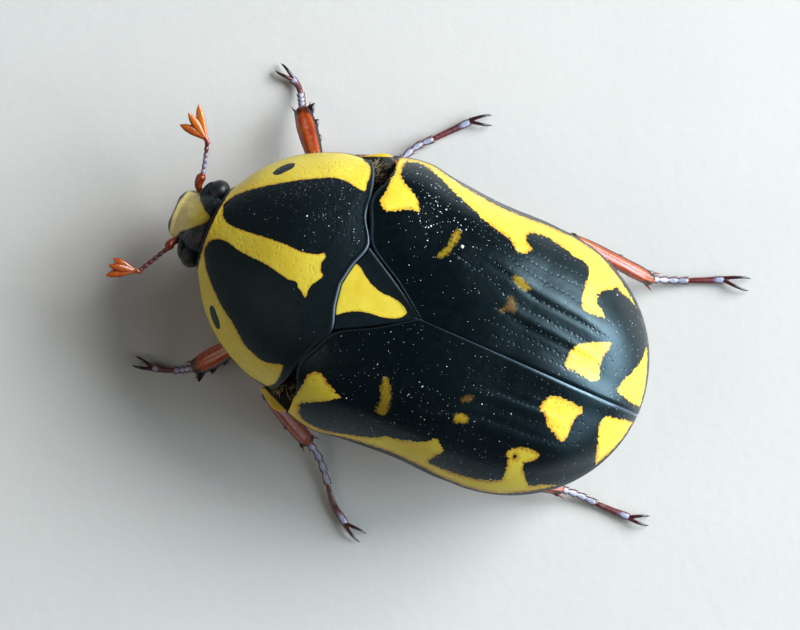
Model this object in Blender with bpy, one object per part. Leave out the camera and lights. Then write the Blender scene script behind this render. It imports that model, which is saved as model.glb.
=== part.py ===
"""Pachnoda ephippiata, a black and yellow fruit chafer, as a still, life-size model standing on its six feet.

Body frame while building, in millimetres: the head points to -Y, the beetle's left side is +X, the floor is
z = 0 and y = 0 is the tip of the scutellum. The finished model is shifted so that its origin lies on the
floor under the middle of its outline. Each named part of the body is one closed solid, and neighbours keep
GAP between them.
"""

import math

import bmesh
import bpy
from mathutils import Vector

MM = 0.001

# Plates and the gap between neighbours
GAP = 0.3
SHELL = 0.6
MARGIN_STEPS = 30
MERGE = 0.00001
WELD = 0.003
CREASE_ANGLE = 35

# Elytra: half-width and height along the body up to REAR_START, an ellipse behind it
REAR_START = 4.6
REAR_LENGTH = 6.95
REAR_HALF_WIDTH = 6.72
REAR_RISE = 5.15
REAR_POWER = 2.2
ELYTRA_WIDTH = ((-5.2, 6.0), (-4.2, 6.72), (-2.7, 7.06), (-1.2, 6.88), (1.5, 6.7), (3.6, 6.76), (4.6, 6.72))
ELYTRA_RIDGE = ((-5.2, 9.2), (-3.0, 9.5), (0.0, 9.75), (3.0, 9.74), (4.6, 9.65))
ELYTRA_EDGE = ((-5.2, 5.3), (-3.0, 5.0), (0.0, 4.7), (4.6, 4.5), (8.0, 4.6), (11.55, 5.0))
ELYTRA_FRONT = (
    (0.15, 0.1), (1.2, -1.62), (2.2, -3.25), (3.3, -3.76), (4.4, -4.12), (5.4, -4.22), (6.8, -4.1),
)
ELYTRA_ROUND = (2.5, 1.95)
ELYTRON_ANGLES = (0, 3.5, 8, 15, 21, 25, 29, 36, 41, 45, 49, 58, 67, 76, 84, 90)
ELYTRON_ROWS = 17
ELYTRON_ROW_CROWDING = 1.5

# Raised forms of each elytron: across, along, height and radius
SHOULDER_KNOB = (5.2, -2.5, 0.28, 1.0)
REAR_KNOB = (3.1, 8.6, 0.32, 1.0)
VEIN_ANGLES = (25.0, 45.0)
VEIN_HEIGHT = 0.16
VEIN_SPREAD = 2.4
VEIN_RISE = (-3.0, 1.0)
VEIN_FALL = (7.3, 9.4)
SUTURE_HEIGHT = 0.14
SUTURE_SPREAD = 4.0
SUTURE_RISE = (1.0, 8.0)

# Pronotum
PRONOTUM_WIDTH = (
    (-11.0, 2.1), (-10.76, 2.5), (-10.2, 3.43), (-9.7, 4.05), (-8.6, 4.95), (-6.85, 5.8), (-5.3, 6.1),
)
PRONOTUM_RIDGE = ((-11.2, 6.7), (-9.5, 7.75), (-7.5, 8.75), (-5.5, 9.3), (-3.6, 9.5))
PRONOTUM_EDGE = ((-11.0, 4.85), (-9.5, 4.45), (-7.5, 4.55), (-5.3, 5.05), (-3.6, 5.2))
PRONOTUM_FRONT = ((0.0, -11.18), (1.2, -11.12), (2.1, -11.0))
PRONOTUM_REAR = ((0.0, -4.2), (1.0, -4.03), (2.2, -3.7), (3.3, -4.06), (4.4, -4.5), (5.3, -5.0), (6.1, -5.4))
PRONOTUM_ROUND = (2.25, 1.95)
PRONOTUM_COLUMNS = 18
PRONOTUM_ROWS = 12

# Scutellum
SCUTELLUM_HALF_BASE = 1.92
SCUTELLUM_TIP = -0.32
SCUTELLUM_TIP_HALF = 0.1
SCUTELLUM_SINK = 0.1
SCUTELLUM_THICK = 0.52
SCUTELLUM_COLUMNS = 6
SCUTELLUM_ROWS = 6

# Body under the plates: stations along it, lowest line of the belly and how round the belly is
BODY_INSET = SHELL + GAP
LEDGE_INSET = 0.35
BELLY_ROUND = 1.6
BELLY = (
    (-10.4, 3.7), (-9.2, 2.9), (-7.5, 2.3), (-5.2, 1.9), (-3.5, 1.4), (1.0, 1.3), (4.0, 1.45), (7.0, 1.85),
    (10.15, 2.75),
)
PROSTERNUM_STATIONS = (-10.4, -9.9, -9.2, -8.2, -7.2, -6.2, -5.2)
THORAX_STATIONS = (-4.9, -4.4, -3.7, -2.4, -0.6, 1.4, 3.45)
THORAX_SHOULDER = ((-4.9, 4.6), (-4.4, 5.15), (-3.7, 6.2), (-2.4, 7.1))
ABDOMEN_STATIONS = (3.75, 5.2, 6.6, 7.8, 8.8, 9.6, 10.15)
UPPER_ANGLES = (0, 18, 36, 54, 72, 90)
LOWER_ANGLES = (12, 30, 50, 70, 90)
STERNAL_KNOB = ((0.0, -4.5, 2.0), (0.0, -5.2, 1.35), (0.0, -5.75, 1.25))
STERNAL_KNOB_SIZES = ((0.0, 0.8, 0.5), (0.7, 0.6, 0.4), (1.0, 0.4, 0.3))

# Pygidium: the last plate, closing the body below the tips of the elytra
PYGIDIUM_HALF_WIDTH = 2.6
PYGIDIUM_TOP = 4.6
PYGIDIUM_DROP = 2.1
PYGIDIUM_FRONT = 10.55
PYGIDIUM_LEAN = 0.12
PYGIDIUM_RIM = 0.3
PYGIDIUM_DOME = 0.5
PYGIDIUM_TAPER = 0.96
PYGIDIUM_FLATTEN = 0.6
PYGIDIUM_COLUMNS = 8
PYGIDIUM_ROWS = 5

# Side plate between pronotum and shoulder: outline across and along at three heights
SIDE_PLATE_LEVELS = (
    (3.9, ((5.3, -5.1), (6.0, -5.3), (6.5, -5.1), (6.6, -4.7), (6.2, -4.45), (5.45, -4.55))),
    (4.6, ((5.25, -5.15), (6.1, -5.5), (6.75, -5.25), (6.85, -4.7), (6.3, -4.4), (5.4, -4.5))),
    (5.35, ((5.75, -4.83), (6.15, -5.0), (6.6, -5.15), (6.75, -4.75), (6.4, -4.57), (5.9, -4.6))),
)

# Head: place along the body, half-width, top and bottom
HEAD_STATIONS = (
    (-10.78, 1.25, 5.25, 3.0),
    (-11.1, 1.42, 5.42, 2.75),
    (-11.5, 1.62, 5.4, 2.55),
    (-11.95, 1.6, 5.12, 2.45),
    (-12.35, 1.45, 4.72, 2.5),
    (-12.7, 1.36, 4.36, 2.65),
    (-13.0, 1.34, 4.08, 2.95),
    (-13.2, 1.22, 3.92, 3.25),
)
CLYPEUS_START = -12.35
HEAD_SIDES = 20
HEAD_ROUND = 2.7
CLYPEUS_NOTCH = 0.16
CLYPEUS_NOTCH_WIDTH = 0.45
EYE_CENTRE = (1.6, -11.62, 4.28)
EYE_RADII = (0.6, 0.5, 0.6)
EYE_SIDES = 12
EYE_ROWS = 8
PALP_PATH = ((0.75, -12.3, 2.35), (0.95, -12.9, 2.15), (1.0, -13.45, 2.2))
PALP_SIZES = ((0.0, 0.25, 0.25), (0.55, 0.3, 0.28), (1.0, 0.22, 0.22))

# Antennae: joints from the head to the tips of the three leaves of the club
ANTENNAE = {
    "right": {
        "scape": ((-1.38, -12.5, 3.95), (-1.7, -12.66, 4.03), (-2.16, -12.64, 4.2)),
        "funicle": ((-2.16, -12.64, 4.2), (-2.95, -12.83, 4.35), (-3.75, -13.07, 4.5)),
        "leaves": ((-5.19, -14.13, 4.85), (-4.6, -14.39, 4.95), (-3.94, -14.54, 4.8)),
    },
    "left": {
        "scape": ((1.3, -12.5, 3.95), (1.5, -12.7, 4.05), (1.84, -12.76, 4.2)),
        "funicle": ((1.84, -12.76, 4.2), (2.68, -13.2, 4.3), (3.45, -13.6, 4.4)),
        "leaves": ((3.3, -14.99, 4.7), (3.77, -15.0, 4.85), (4.19, -14.94, 4.7)),
    },
}
SCAPE_SIZES = ((0.0, 0.28, 0.28), (0.6, 0.36, 0.35), (1.0, 0.27, 0.27))
FUNICLE_BEADS = 5
FUNICLE_WAIST = 0.25
FUNICLE_BEAD = 0.31
BEAD_MIDDLE = 0.6
CLUB_ROOT_SIZES = ((0.0, 0.27, 0.27), (1.0, 0.3, 0.3))
CLUB_ROOT_LENGTH = 0.45
LEAF_ROOT = 0.27
LEAF_BEND = 0.05
LEAF_SIZES = ((0.0, 0.26, 0.25), (0.35, 0.3, 0.26), (0.75, 0.29, 0.25), (1.0, 0.16, 0.14))

# Legs: joints from the body to the claws. The feet's middle line runs so low that each has a flat underneath
FOOT_LEVEL = 0.23
FLOOR_BLOCK = 60.0
LEG_JOINTS = {
    "front_right": {
        "coxa": ((-1.2, -8.8, 3.5), (-2.1, -8.5, 1.9)),
        "knee": (-4.18, -7.16, 2.75),
        "ankle": (-7.08, -9.54, 1.1),
        "foot": ((-7.66, -9.88, 0.6), (-8.18, -10.28, 0.3), (-8.44, -10.78, FOOT_LEVEL)),
        "claws": (-8.69, -11.68, 0.12),
    },
    "front_left": {
        "coxa": ((1.2, -8.8, 3.5), (2.1, -8.5, 1.9)),
        "knee": (3.96, -7.11, 2.75),
        "ankle": (6.75, -9.26, 1.1),
        "foot": ((7.17, -9.86, 0.55), (7.5, -10.55, 0.28), (7.73, -11.4, FOOT_LEVEL)),
        "claws": (7.77, -12.4, 0.12),
    },
    "middle_right": {
        "coxa": ((-1.9, -3.3, 2.6), (-2.9, -4.1, 1.6)),
        "knee": (-5.7, -6.4, 3.4),
        "ankle": (-6.5, -4.25, 0.9),
        "foot": ((-7.78, -3.64, 0.4), (-8.68, -2.86, FOOT_LEVEL), (-10.13, -1.59, FOOT_LEVEL)),
        "claws": (-10.58, -0.64, 0.12),
    },
    "middle_left": {
        "coxa": ((1.9, -3.3, 2.6), (2.9, -4.1, 1.6)),
        "knee": (6.34, -5.58, 3.35),
        "ankle": (7.89, -2.73, 0.95),
        "foot": ((8.61, -2.03, 0.4), (9.66, -1.09, FOOT_LEVEL), (11.06, 0.84, FOOT_LEVEL)),
        "claws": (11.31, 1.89, 0.12),
    },
    "hind_right": {
        "coxa": ((-1.7, 1.2, 2.6), (-3.2, 2.2, 1.5)),
        "knee": (-6.63, 5.28, 3.2),
        "ankle": (-6.41, 9.7, 1.0),
        "foot": ((-6.77, 10.71, 0.4), (-7.27, 11.87, FOOT_LEVEL), (-7.96, 13.33, FOOT_LEVEL)),
        "claws": (-8.21, 14.59, 0.12),
    },
    "hind_left": {
        "coxa": ((1.7, 1.2, 2.6), (3.2, 2.2, 1.5)),
        "knee": (6.01, 4.96, 3.2),
        "ankle": (5.0, 9.78, 1.0),
        "foot": ((4.95, 10.88, 0.4), (4.99, 12.18, FOOT_LEVEL), (4.95, 13.78, FOOT_LEVEL)),
        "claws": (4.7, 14.73, 0.12),
    },
}
# Half-width and half-thickness at fractions of each length
COXA_SIZES = ((0.0, 0.75, 0.75), (0.5, 0.85, 0.8), (1.0, 0.55, 0.5))
FEMUR_SIZES = ((0.0, 0.42, 0.4), (0.25, 0.8, 0.6), (0.6, 0.85, 0.62), (0.88, 0.62, 0.5), (1.0, 0.5, 0.44))
TIBIA_SIZES = {
    "front": ((0.0, 0.33, 0.3), (0.3, 0.45, 0.33), (0.75, 0.58, 0.34), (1.0, 0.52, 0.3)),
    "middle": ((0.0, 0.32, 0.3), (0.3, 0.4, 0.36), (0.8, 0.45, 0.4), (1.0, 0.46, 0.38)),
    "hind": ((0.0, 0.34, 0.32), (0.3, 0.43, 0.38), (0.8, 0.49, 0.43), (1.0, 0.49, 0.39)),
}
# Teeth along the outer edge of the tibia: fraction along, length, lean towards the foot
TIBIA_TEETH = {
    "front": ((0.58, 0.3, 0.35), (0.78, 0.45, 0.5), (0.97, 0.6, 0.8)),
    "middle": ((0.55, 0.42, 0.8), (0.95, 0.4, 0.9)),
    "hind": ((0.55, 0.42, 0.8), (0.95, 0.4, 0.9)),
}
TOOTH_RADIUS = 0.26
TOOTH_POINT = 0.05
TOOTH_SINK = 0.18
TOOTH_SIDES = 5
SPUR_RADIUS = 0.2
SPUR_LENGTH = 1.05
SPUR_SINK = 0.3
SPUR_APART = 0.25
SPUR_LEAN = 0.55
SPUR_DROP = 0.12
TARSUS_SHARES = (0.13, 0.26, 0.39, 0.53)
TARSUS_LAST = 0.94
TARSUS_WAIST = 0.25
TARSUS_SWELL = 0.32
TARSUS_THICK = 0.29
TARSUS_SWELL_PLACE = 0.8
CLAW_SPREAD = 0.42
CLAW_ROOT_APART = 0.084
CLAW_BEND_APART = 0.315
CLAW_HOOK = 0.06
CLAW_SIZES = ((0.0, 0.2, 0.2), (0.5, 0.23, 0.22), (1.0, 0.07, 0.07))
CLAW_SINK = 0.16
CLAW_ARCH = 0.12
LIMB_SIDES = 8
LIMB_LOOK = 0.01
CLAW_SIDES = 6
END_ANGLES = (25, 58)

# Colour, roughness and metallic value of each finish
FINISHES = {
    "black_cuticle": ((0.012, 0.016, 0.02, 1.0), 0.5, 0.0),
    "yellow_cuticle": ((0.78, 0.55, 0.04, 1.0), 0.4, 0.0),
    "red_brown_cuticle": ((0.35, 0.055, 0.012, 1.0), 0.3, 0.0),
    "orange_cuticle": ((0.6, 0.16, 0.02, 1.0), 0.35, 0.0),
    "eye_lens": ((0.02, 0.015, 0.015, 1.0), 0.12, 0.0),
}


def smooth(points):
    """Returns a function that runs smoothly through (place, value) pairs and stays level beyond them."""
    places = [p for p, _ in points]
    values = [v for _, v in points]
    last = len(points) - 1
    slopes = []
    for i in range(last + 1):
        before, after = max(i - 1, 0), min(i + 1, last)
        slopes.append((values[after] - values[before]) / (places[after] - places[before]))

    def value(place):
        place = min(max(place, places[0]), places[-1])
        i = max(k for k in range(last) if places[k] <= place)
        span = places[i + 1] - places[i]
        t = (place - places[i]) / span
        bend = t * t * (3 - 2 * t)
        pull = span * (t * (1 - t) ** 2 * slopes[i] - t * t * (1 - t) * slopes[i + 1])
        return values[i] * (1 - bend) + values[i + 1] * bend + pull

    return value


elytra_width = smooth(ELYTRA_WIDTH)
elytra_ridge = smooth(ELYTRA_RIDGE)
elytra_edge = smooth(ELYTRA_EDGE)
elytra_front = smooth(ELYTRA_FRONT)
pronotum_width = smooth(PRONOTUM_WIDTH)
pronotum_ridge = smooth(PRONOTUM_RIDGE)
pronotum_edge = smooth(PRONOTUM_EDGE)
pronotum_front = smooth(PRONOTUM_FRONT)
pronotum_rear = smooth(PRONOTUM_REAR)
belly_line = smooth(BELLY)
thorax_shoulder = smooth(THORAX_SHOULDER)


def rear_share(y, inset):
    """How far y lies along the rear ellipse of the elytra, from 0 at its start to 1 at its tip."""
    return min(max((y - REAR_START) / (REAR_LENGTH - inset), 0.0), 1.0)


def elytra_half_width(y, inset=0.0):
    """Half-width of both elytra together, or of a form set inside them by inset."""
    if y < REAR_START:
        return elytra_width(y) - inset
    return (REAR_HALF_WIDTH - inset) * math.sqrt(1 - rear_share(y, inset) ** 2)


def elytra_height(y, inset=0.0):
    """Height of the line where the elytra meet, or of a form set inside them by inset."""
    if y < REAR_START:
        return elytra_ridge(y) - inset
    return elytra_edge(y) + (REAR_RISE - inset) * math.sqrt(1 - rear_share(y, inset) ** REAR_POWER)


def across(angle, power):
    """Share of the half-width reached at an angle from the ridge, with its sign."""
    sine = math.sin(math.radians(angle))
    return math.copysign(abs(sine) ** (2 / power), sine)


def up(angle, power):
    """Share of the height left at an angle from the ridge."""
    return max(math.cos(math.radians(angle)), 0.0) ** (2 / power)


def mound(x, y, knob):
    """Height at x, y of a rounded knob given by its place, height and radius."""
    knob_x, knob_y, height, radius = knob
    return height * math.exp(-((x - knob_x) ** 2 + (y - knob_y) ** 2) / radius**2)


def step_between(value, low, high):
    """Runs smoothly from 0 at low to 1 at high."""
    t = min(max((value - low) / (high - low), 0.0), 1.0)
    return t * t * (3 - 2 * t)


def elytron_relief(x, y, angle):
    """Height of the knobs, the two long veins and the raised inner edge above the plain elytron."""
    along = step_between(y, *VEIN_RISE) * (1 - step_between(y, *VEIN_FALL))
    veins = sum(math.exp(-(((angle - v) / VEIN_SPREAD) ** 2)) for v in VEIN_ANGLES)
    suture = SUTURE_HEIGHT * math.exp(-((angle / SUTURE_SPREAD) ** 2)) * step_between(y, *SUTURE_RISE)
    return mound(x, y, SHOULDER_KNOB) + mound(x, y, REAR_KNOB) + VEIN_HEIGHT * veins * along + suture


def margin_place(margin, reach):
    """Place along the body where a column that reaches reach(y) sideways meets a margin line."""
    y = margin(0.0)
    for _ in range(MARGIN_STEPS):
        y = margin(reach(y))
    return y


def elytron_point(angle, along, inset):
    """A point of the left elytron, at an angle from the suture and a share of the way to its tip."""
    inner = GAP / 2
    share = across(angle, ELYTRA_ROUND[0])

    def reach(y):
        return inner + (elytra_half_width(y, inset) - inner) * share

    front = margin_place(elytra_front, reach)
    tip = REAR_START + REAR_LENGTH - inset
    y = front + (tip - front) * (1 - (1 - along) ** ELYTRON_ROW_CROWDING)
    x = max(reach(y), inner)
    edge = elytra_edge(y)
    z = edge + (elytra_height(y, inset) - edge) * up(angle, ELYTRA_ROUND[1])
    lift = elytron_relief(x, y, angle) if inset == 0 else 0.0
    tilt = math.radians(angle)
    return Vector((x + lift * math.sin(tilt), y, z + lift * math.cos(tilt)))


def pronotum_point(angle, along, inset):
    """A point of the pronotum, at an angle from the middle and a share of the way to its rear margin."""
    share = across(angle, PRONOTUM_ROUND[0])

    def reach(y):
        return abs(pronotum_width(y) - inset) * abs(share)

    front = margin_place(pronotum_front, reach)
    rear = margin_place(pronotum_rear, reach)
    y = front + (rear - front) * along
    edge = pronotum_edge(y)
    z = edge + (pronotum_ridge(y) - inset - edge) * up(angle, PRONOTUM_ROUND[1])
    return Vector((math.copysign(reach(y), share), y, z))


def back_height(x, y):
    """Height of the elytra's smooth back at x, y."""
    reach = min(abs(x) / elytra_width(y), 1.0)
    edge = elytra_edge(y)
    return edge + (elytra_ridge(y) - edge) * (1 - reach ** ELYTRA_ROUND[0]) ** (1 / ELYTRA_ROUND[1])


def link(name, mesh_bm, finish):
    """Turns a bmesh in millimetres into an object in metres, with its finish."""
    bmesh.ops.remove_doubles(mesh_bm, verts=mesh_bm.verts, dist=MERGE)
    bmesh.ops.recalc_face_normals(mesh_bm, faces=mesh_bm.faces)
    for vert in mesh_bm.verts:
        vert.co *= MM
    mesh = bpy.data.meshes.new(name)
    mesh_bm.to_mesh(mesh)
    mesh_bm.free()
    mesh.materials.append(materials[finish])
    obj = bpy.data.objects.new(name, mesh)
    bpy.context.scene.collection.objects.link(obj)
    return obj


def add_rings(mesh_bm, rings, closed_rings):
    """Joins rows of points with triangles and returns the rows of vertices."""
    rows = [[mesh_bm.verts.new(point) for point in ring] for ring in rings]
    for low, high in zip(rows, rows[1:]):
        count = len(low)
        for i in range(count if closed_rings else count - 1):
            j = (i + 1) % count
            mesh_bm.faces.new((low[i], low[j], high[j]))
            mesh_bm.faces.new((low[i], high[j], high[i]))
    return rows


def plate(name, outer, inner, finish):
    """A solid plate between two grids of points, with its four edges closed."""
    mesh_bm = bmesh.new()
    top = add_rings(mesh_bm, outer, False)
    bottom = add_rings(mesh_bm, inner, False)
    borders = (
        (top[0], bottom[0]),
        (top[-1], bottom[-1]),
        ([row[0] for row in top], [row[0] for row in bottom]),
        ([row[-1] for row in top], [row[-1] for row in bottom]),
    )
    for high, low in borders:
        for a, b, c, d in zip(high, high[1:], low[1:], low):
            mesh_bm.faces.new((a, b, c))
            mesh_bm.faces.new((a, c, d))
    return link(name, mesh_bm, finish)


def loft(name, rings, finish):
    """A closed solid through rings of points, with its two ends closed by fans."""
    mesh_bm = bmesh.new()
    rows = add_rings(mesh_bm, rings, True)
    for row in (rows[0], rows[-1]):
        middle = mesh_bm.verts.new(sum((v.co for v in row), Vector()) / len(row))
        for a, b in zip(row, row[1:] + row[:1]):
            mesh_bm.faces.new((a, b, middle))
    return link(name, mesh_bm, finish)


def path_places(path, shares):
    """Points and directions at shares of the length of a curve through the path's points."""
    points = [Vector(p) for p in path]
    reach = [0.0]
    for a, b in zip(points, points[1:]):
        reach.append(reach[-1] + (b - a).length)
    curves = [smooth(list(zip(reach, [p[k] for p in points]))) for k in range(3)]
    total, step = reach[-1], reach[-1] * LIMB_LOOK
    for share in shares:
        place = share * total
        ahead = Vector([c(min(place + step, total)) for c in curves])
        behind = Vector([c(max(place - step, 0.0)) for c in curves])
        yield Vector([c(place) for c in curves]), (ahead - behind).normalized()


def limb(name, path, sizes, finish, grow=0.0, sides=LIMB_SIDES, flat=Vector((0, 0, 1))):
    """A rounded limb along a path. sizes holds share, half-width and half-thickness, and grow swells it."""
    rings = []
    shares = [s for s, _, _ in sizes]
    places = list(path_places(path, shares))
    ends = [math.radians(a) for a in END_ANGLES]
    for i, ((centre, ahead), (_, wide, thick)) in enumerate(zip(places, sizes)):
        wide, thick = wide + grow, thick + grow
        stops = [(0.0, 1.0)]
        if i == 0:
            stops = [(-math.sin(a), math.cos(a)) for a in reversed(ends)] + stops
        if i == len(places) - 1:
            stops = stops + [(math.sin(a), math.cos(a)) for a in ends]
        side = ahead.cross(flat).normalized()
        rise = side.cross(ahead)
        for out, shrink in stops:
            middle = centre + ahead * out * thick
            ring = []
            for k in range(sides):
                turn = 2 * math.pi * (k + 0.5) / sides
                point = middle + (side * math.cos(turn) * wide + rise * math.sin(turn) * thick) * shrink
                ring.append(point)
            rings.append(ring)
    return loft(name, rings, finish)


def below_floor():
    """A block under the floor, which cuts the feet flat."""
    mesh_bm = bmesh.new()
    bmesh.ops.create_cube(mesh_bm, size=FLOOR_BLOCK)
    for vert in mesh_bm.verts:
        vert.co.z -= FLOOR_BLOCK / 2
    return link("cutter", mesh_bm, "black_cuticle")


def settle(obj):
    """Applies an object's modifiers and keeps only its largest closed surface."""
    evaluated = obj.evaluated_get(bpy.context.evaluated_depsgraph_get())
    mesh = bpy.data.meshes.new_from_object(evaluated)
    obj.modifiers.clear()
    old, obj.data = obj.data, mesh
    bpy.data.meshes.remove(old)
    mesh_bm = bmesh.new()
    mesh_bm.from_mesh(mesh)
    bmesh.ops.remove_doubles(mesh_bm, verts=mesh_bm.verts, dist=WELD * MM)
    bmesh.ops.dissolve_degenerate(mesh_bm, edges=mesh_bm.edges, dist=WELD * MM)
    bmesh.ops.triangulate(mesh_bm, faces=mesh_bm.faces)
    unseen = set(mesh_bm.faces)
    islands = []
    while unseen:
        front = [unseen.pop()]
        island = list(front)
        while front:
            face = front.pop()
            for edge in face.edges:
                for other in edge.link_faces:
                    if other in unseen:
                        unseen.discard(other)
                        front.append(other)
                        island.append(other)
        islands.append(island)
    largest = max(islands, key=lambda island: sum(face.calc_area() for face in island))
    scraps = [face for island in islands if island is not largest for face in island]
    bmesh.ops.delete(mesh_bm, geom=scraps, context="FACES")
    mesh_bm.to_mesh(mesh)
    mesh_bm.free()


def combine(obj, others, operation):
    """One Boolean of an object with a collection of others, which are then removed."""
    group = bpy.data.collections.new("operands")
    for other in others:
        group.objects.link(other)
    boolean = obj.modifiers.new(operation, "BOOLEAN")
    boolean.operation = operation
    boolean.operand_type = "COLLECTION"
    boolean.collection = group
    boolean.solver = "EXACT"
    settle(obj)
    for other in others:
        bpy.data.objects.remove(other)
    bpy.data.collections.remove(group)
    return obj


def near(a, b):
    """Whether the boxes of two objects overlap."""
    boxes = []
    for obj in (a, b):
        corners = [v.co for v in obj.data.vertices]
        boxes.append([(min(c[k] for c in corners), max(c[k] for c in corners)) for k in range(3)])
    return all(one[0] < two[1] and two[0] < one[1] for one, two in zip(*boxes))


def elytron(side, name):
    """A wing case: a curved shell with its knobs and long veins raised in its own surface."""
    grids = []
    for inset in (0.0, SHELL):
        grid = []
        for row in range(ELYTRON_ROWS + 1):
            points = [elytron_point(angle, row / ELYTRON_ROWS, inset) for angle in ELYTRON_ANGLES]
            grid.append([Vector((side * p.x, p.y, p.z)) for p in points])
        grids.append(grid)
    return plate(name, grids[0], grids[1], "black_cuticle")


def pronotum():
    """The shield over the front of the body, a shell domed across and along."""
    angles = [180 * i / PRONOTUM_COLUMNS - 90 for i in range(PRONOTUM_COLUMNS + 1)]
    shares = [i / PRONOTUM_ROWS for i in range(PRONOTUM_ROWS + 1)]
    grids = [[[pronotum_point(a, s, inset) for a in angles] for s in shares] for inset in (0.0, SHELL)]
    return plate("pronotum", grids[0], grids[1], "black_cuticle")


def scutellum():
    """The small triangle between pronotum and elytra, just below their level."""
    grids = []
    for sink in (SCUTELLUM_SINK, SCUTELLUM_SINK + SCUTELLUM_THICK):
        grid = []
        for row in range(SCUTELLUM_ROWS + 1):
            share = row / SCUTELLUM_ROWS
            half = SCUTELLUM_HALF_BASE * (1 - share) + SCUTELLUM_TIP_HALF * share
            points = []
            for column in range(SCUTELLUM_COLUMNS + 1):
                side = 2 * column / SCUTELLUM_COLUMNS - 1
                base = pronotum_rear(abs(side) * SCUTELLUM_HALF_BASE) + GAP
                x, y = side * half, base + (SCUTELLUM_TIP - base) * share
                points.append(Vector((x, y, back_height(x, y) - sink)))
            grid.append(points)
        grids.append(grid)
    return plate("scutellum", grids[0], grids[1], "yellow_cuticle")


def body_ring(y, half_top, ridge, half_ledge, edge, roundness):
    """One closed ring of the body: a dome under the plates, a ledge below their edge and the belly."""
    side = []
    for angle in UPPER_ANGLES:
        x = half_top * across(angle, roundness[0])
        side.append((x, edge + (ridge - edge) * up(angle, roundness[1])))
    ledge = edge - GAP
    bottom = belly_line(y)
    side += [(half_top, ledge), (half_ledge, ledge)]
    for angle in LOWER_ANGLES:
        x = half_ledge * math.cos(math.radians(angle)) ** (2 / BELLY_ROUND) if angle < 90 else 0.0
        side.append((x, ledge - (ledge - bottom) * math.sin(math.radians(angle)) ** (2 / BELLY_ROUND)))
    mirrored = [(-x, z) for x, z in reversed(side[1:-1])]
    return [Vector((x, y, z)) for x, z in side + mirrored]


def prosternum():
    """The underside and core of the front segment, below the pronotum."""
    rings = []
    for y in PROSTERNUM_STATIONS:
        half = pronotum_width(y)
        ridge = pronotum_ridge(y) - BODY_INSET
        rings.append(
            body_ring(y, half - BODY_INSET, ridge, half - LEDGE_INSET, pronotum_edge(y), PRONOTUM_ROUND)
        )
    return loft("prosternum", rings, "black_cuticle")


def wing_body_ring(y, shoulder):
    """A ring of the body under the elytra, narrowed to a shoulder line at its front."""
    half = min(elytra_half_width(y, 0.0), shoulder)
    top = min(elytra_half_width(y, BODY_INSET), half - BODY_INSET)
    ledge = min(elytra_half_width(y, LEDGE_INSET), half - LEDGE_INSET)
    return body_ring(y, top, elytra_height(y, BODY_INSET), ledge, elytra_edge(y), ELYTRA_ROUND)


def thorax():
    """Middle and hind segments of the thorax, which carry four legs and the wing cases."""
    rings = [wing_body_ring(y, thorax_shoulder(y)) for y in THORAX_STATIONS]
    body = loft("thorax", rings, "black_cuticle")
    knob = limb("knob", STERNAL_KNOB, STERNAL_KNOB_SIZES, "black_cuticle")
    return combine(body, [knob], "UNION")


def abdomen():
    """The belly behind the legs, up to the last plate."""
    rings = []
    for y in ABDOMEN_STATIONS:
        top = elytra_half_width(y, BODY_INSET)
        ledge = max(elytra_half_width(y, LEDGE_INSET), top + GAP)
        rings.append(body_ring(y, top, elytra_height(y, BODY_INSET), ledge, elytra_edge(y), ELYTRA_ROUND))
    return loft("abdomen", rings, "black_cuticle")


def pygidium():
    """The domed last plate of the body, below the tips of the elytra."""
    grids = []
    for outer in (True, False):
        grid = []
        for row in range(PYGIDIUM_ROWS + 1):
            depth = row / PYGIDIUM_ROWS
            half = PYGIDIUM_HALF_WIDTH * math.sqrt(1 - (PYGIDIUM_TAPER * depth) ** 2)
            dome = PYGIDIUM_DOME * (1 - PYGIDIUM_FLATTEN * depth * depth)
            points = []
            for column in range(PYGIDIUM_COLUMNS + 1):
                side = 2 * column / PYGIDIUM_COLUMNS - 1
                thick = PYGIDIUM_RIM + dome * (1 - side * side)
                y = PYGIDIUM_FRONT - PYGIDIUM_LEAN * depth * PYGIDIUM_DROP + (thick if outer else 0.0)
                points.append(Vector((side * half, y, PYGIDIUM_TOP - PYGIDIUM_DROP * depth)))
            grid.append(points)
        grids.append(grid)
    return plate("pygidium", grids[0], grids[1], "black_cuticle")


def side_plate(side, name):
    """The mesepimeron, the small hairy wedge seen between pronotum and shoulder."""
    rings = [[Vector((side * x, y, z)) for x, y in outline] for z, outline in SIDE_PLATE_LEVELS]
    return loft(name, rings, "yellow_cuticle")


def head():
    """The head with its flat, notched clypeus."""
    rings = []
    for y, half, top, bottom in HEAD_STATIONS:
        middle, rise = (top + bottom) / 2, (top - bottom) / 2
        forward = step_between(-y, -CLYPEUS_START, -HEAD_STATIONS[-1][0])
        ring = []
        for k in range(HEAD_SIDES):
            turn = 2 * math.pi * k / HEAD_SIDES
            cosine, sine = math.cos(turn), math.sin(turn)
            x = half * math.copysign(abs(cosine) ** (2 / HEAD_ROUND), cosine)
            z = middle + rise * math.copysign(abs(sine) ** (2 / HEAD_ROUND), sine)
            notch = CLYPEUS_NOTCH * forward * math.exp(-((x / CLYPEUS_NOTCH_WIDTH) ** 2))
            ring.append(Vector((x, y + notch, z)))
        rings.append(ring)
    return loft("head", rings, "yellow_cuticle")


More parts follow.
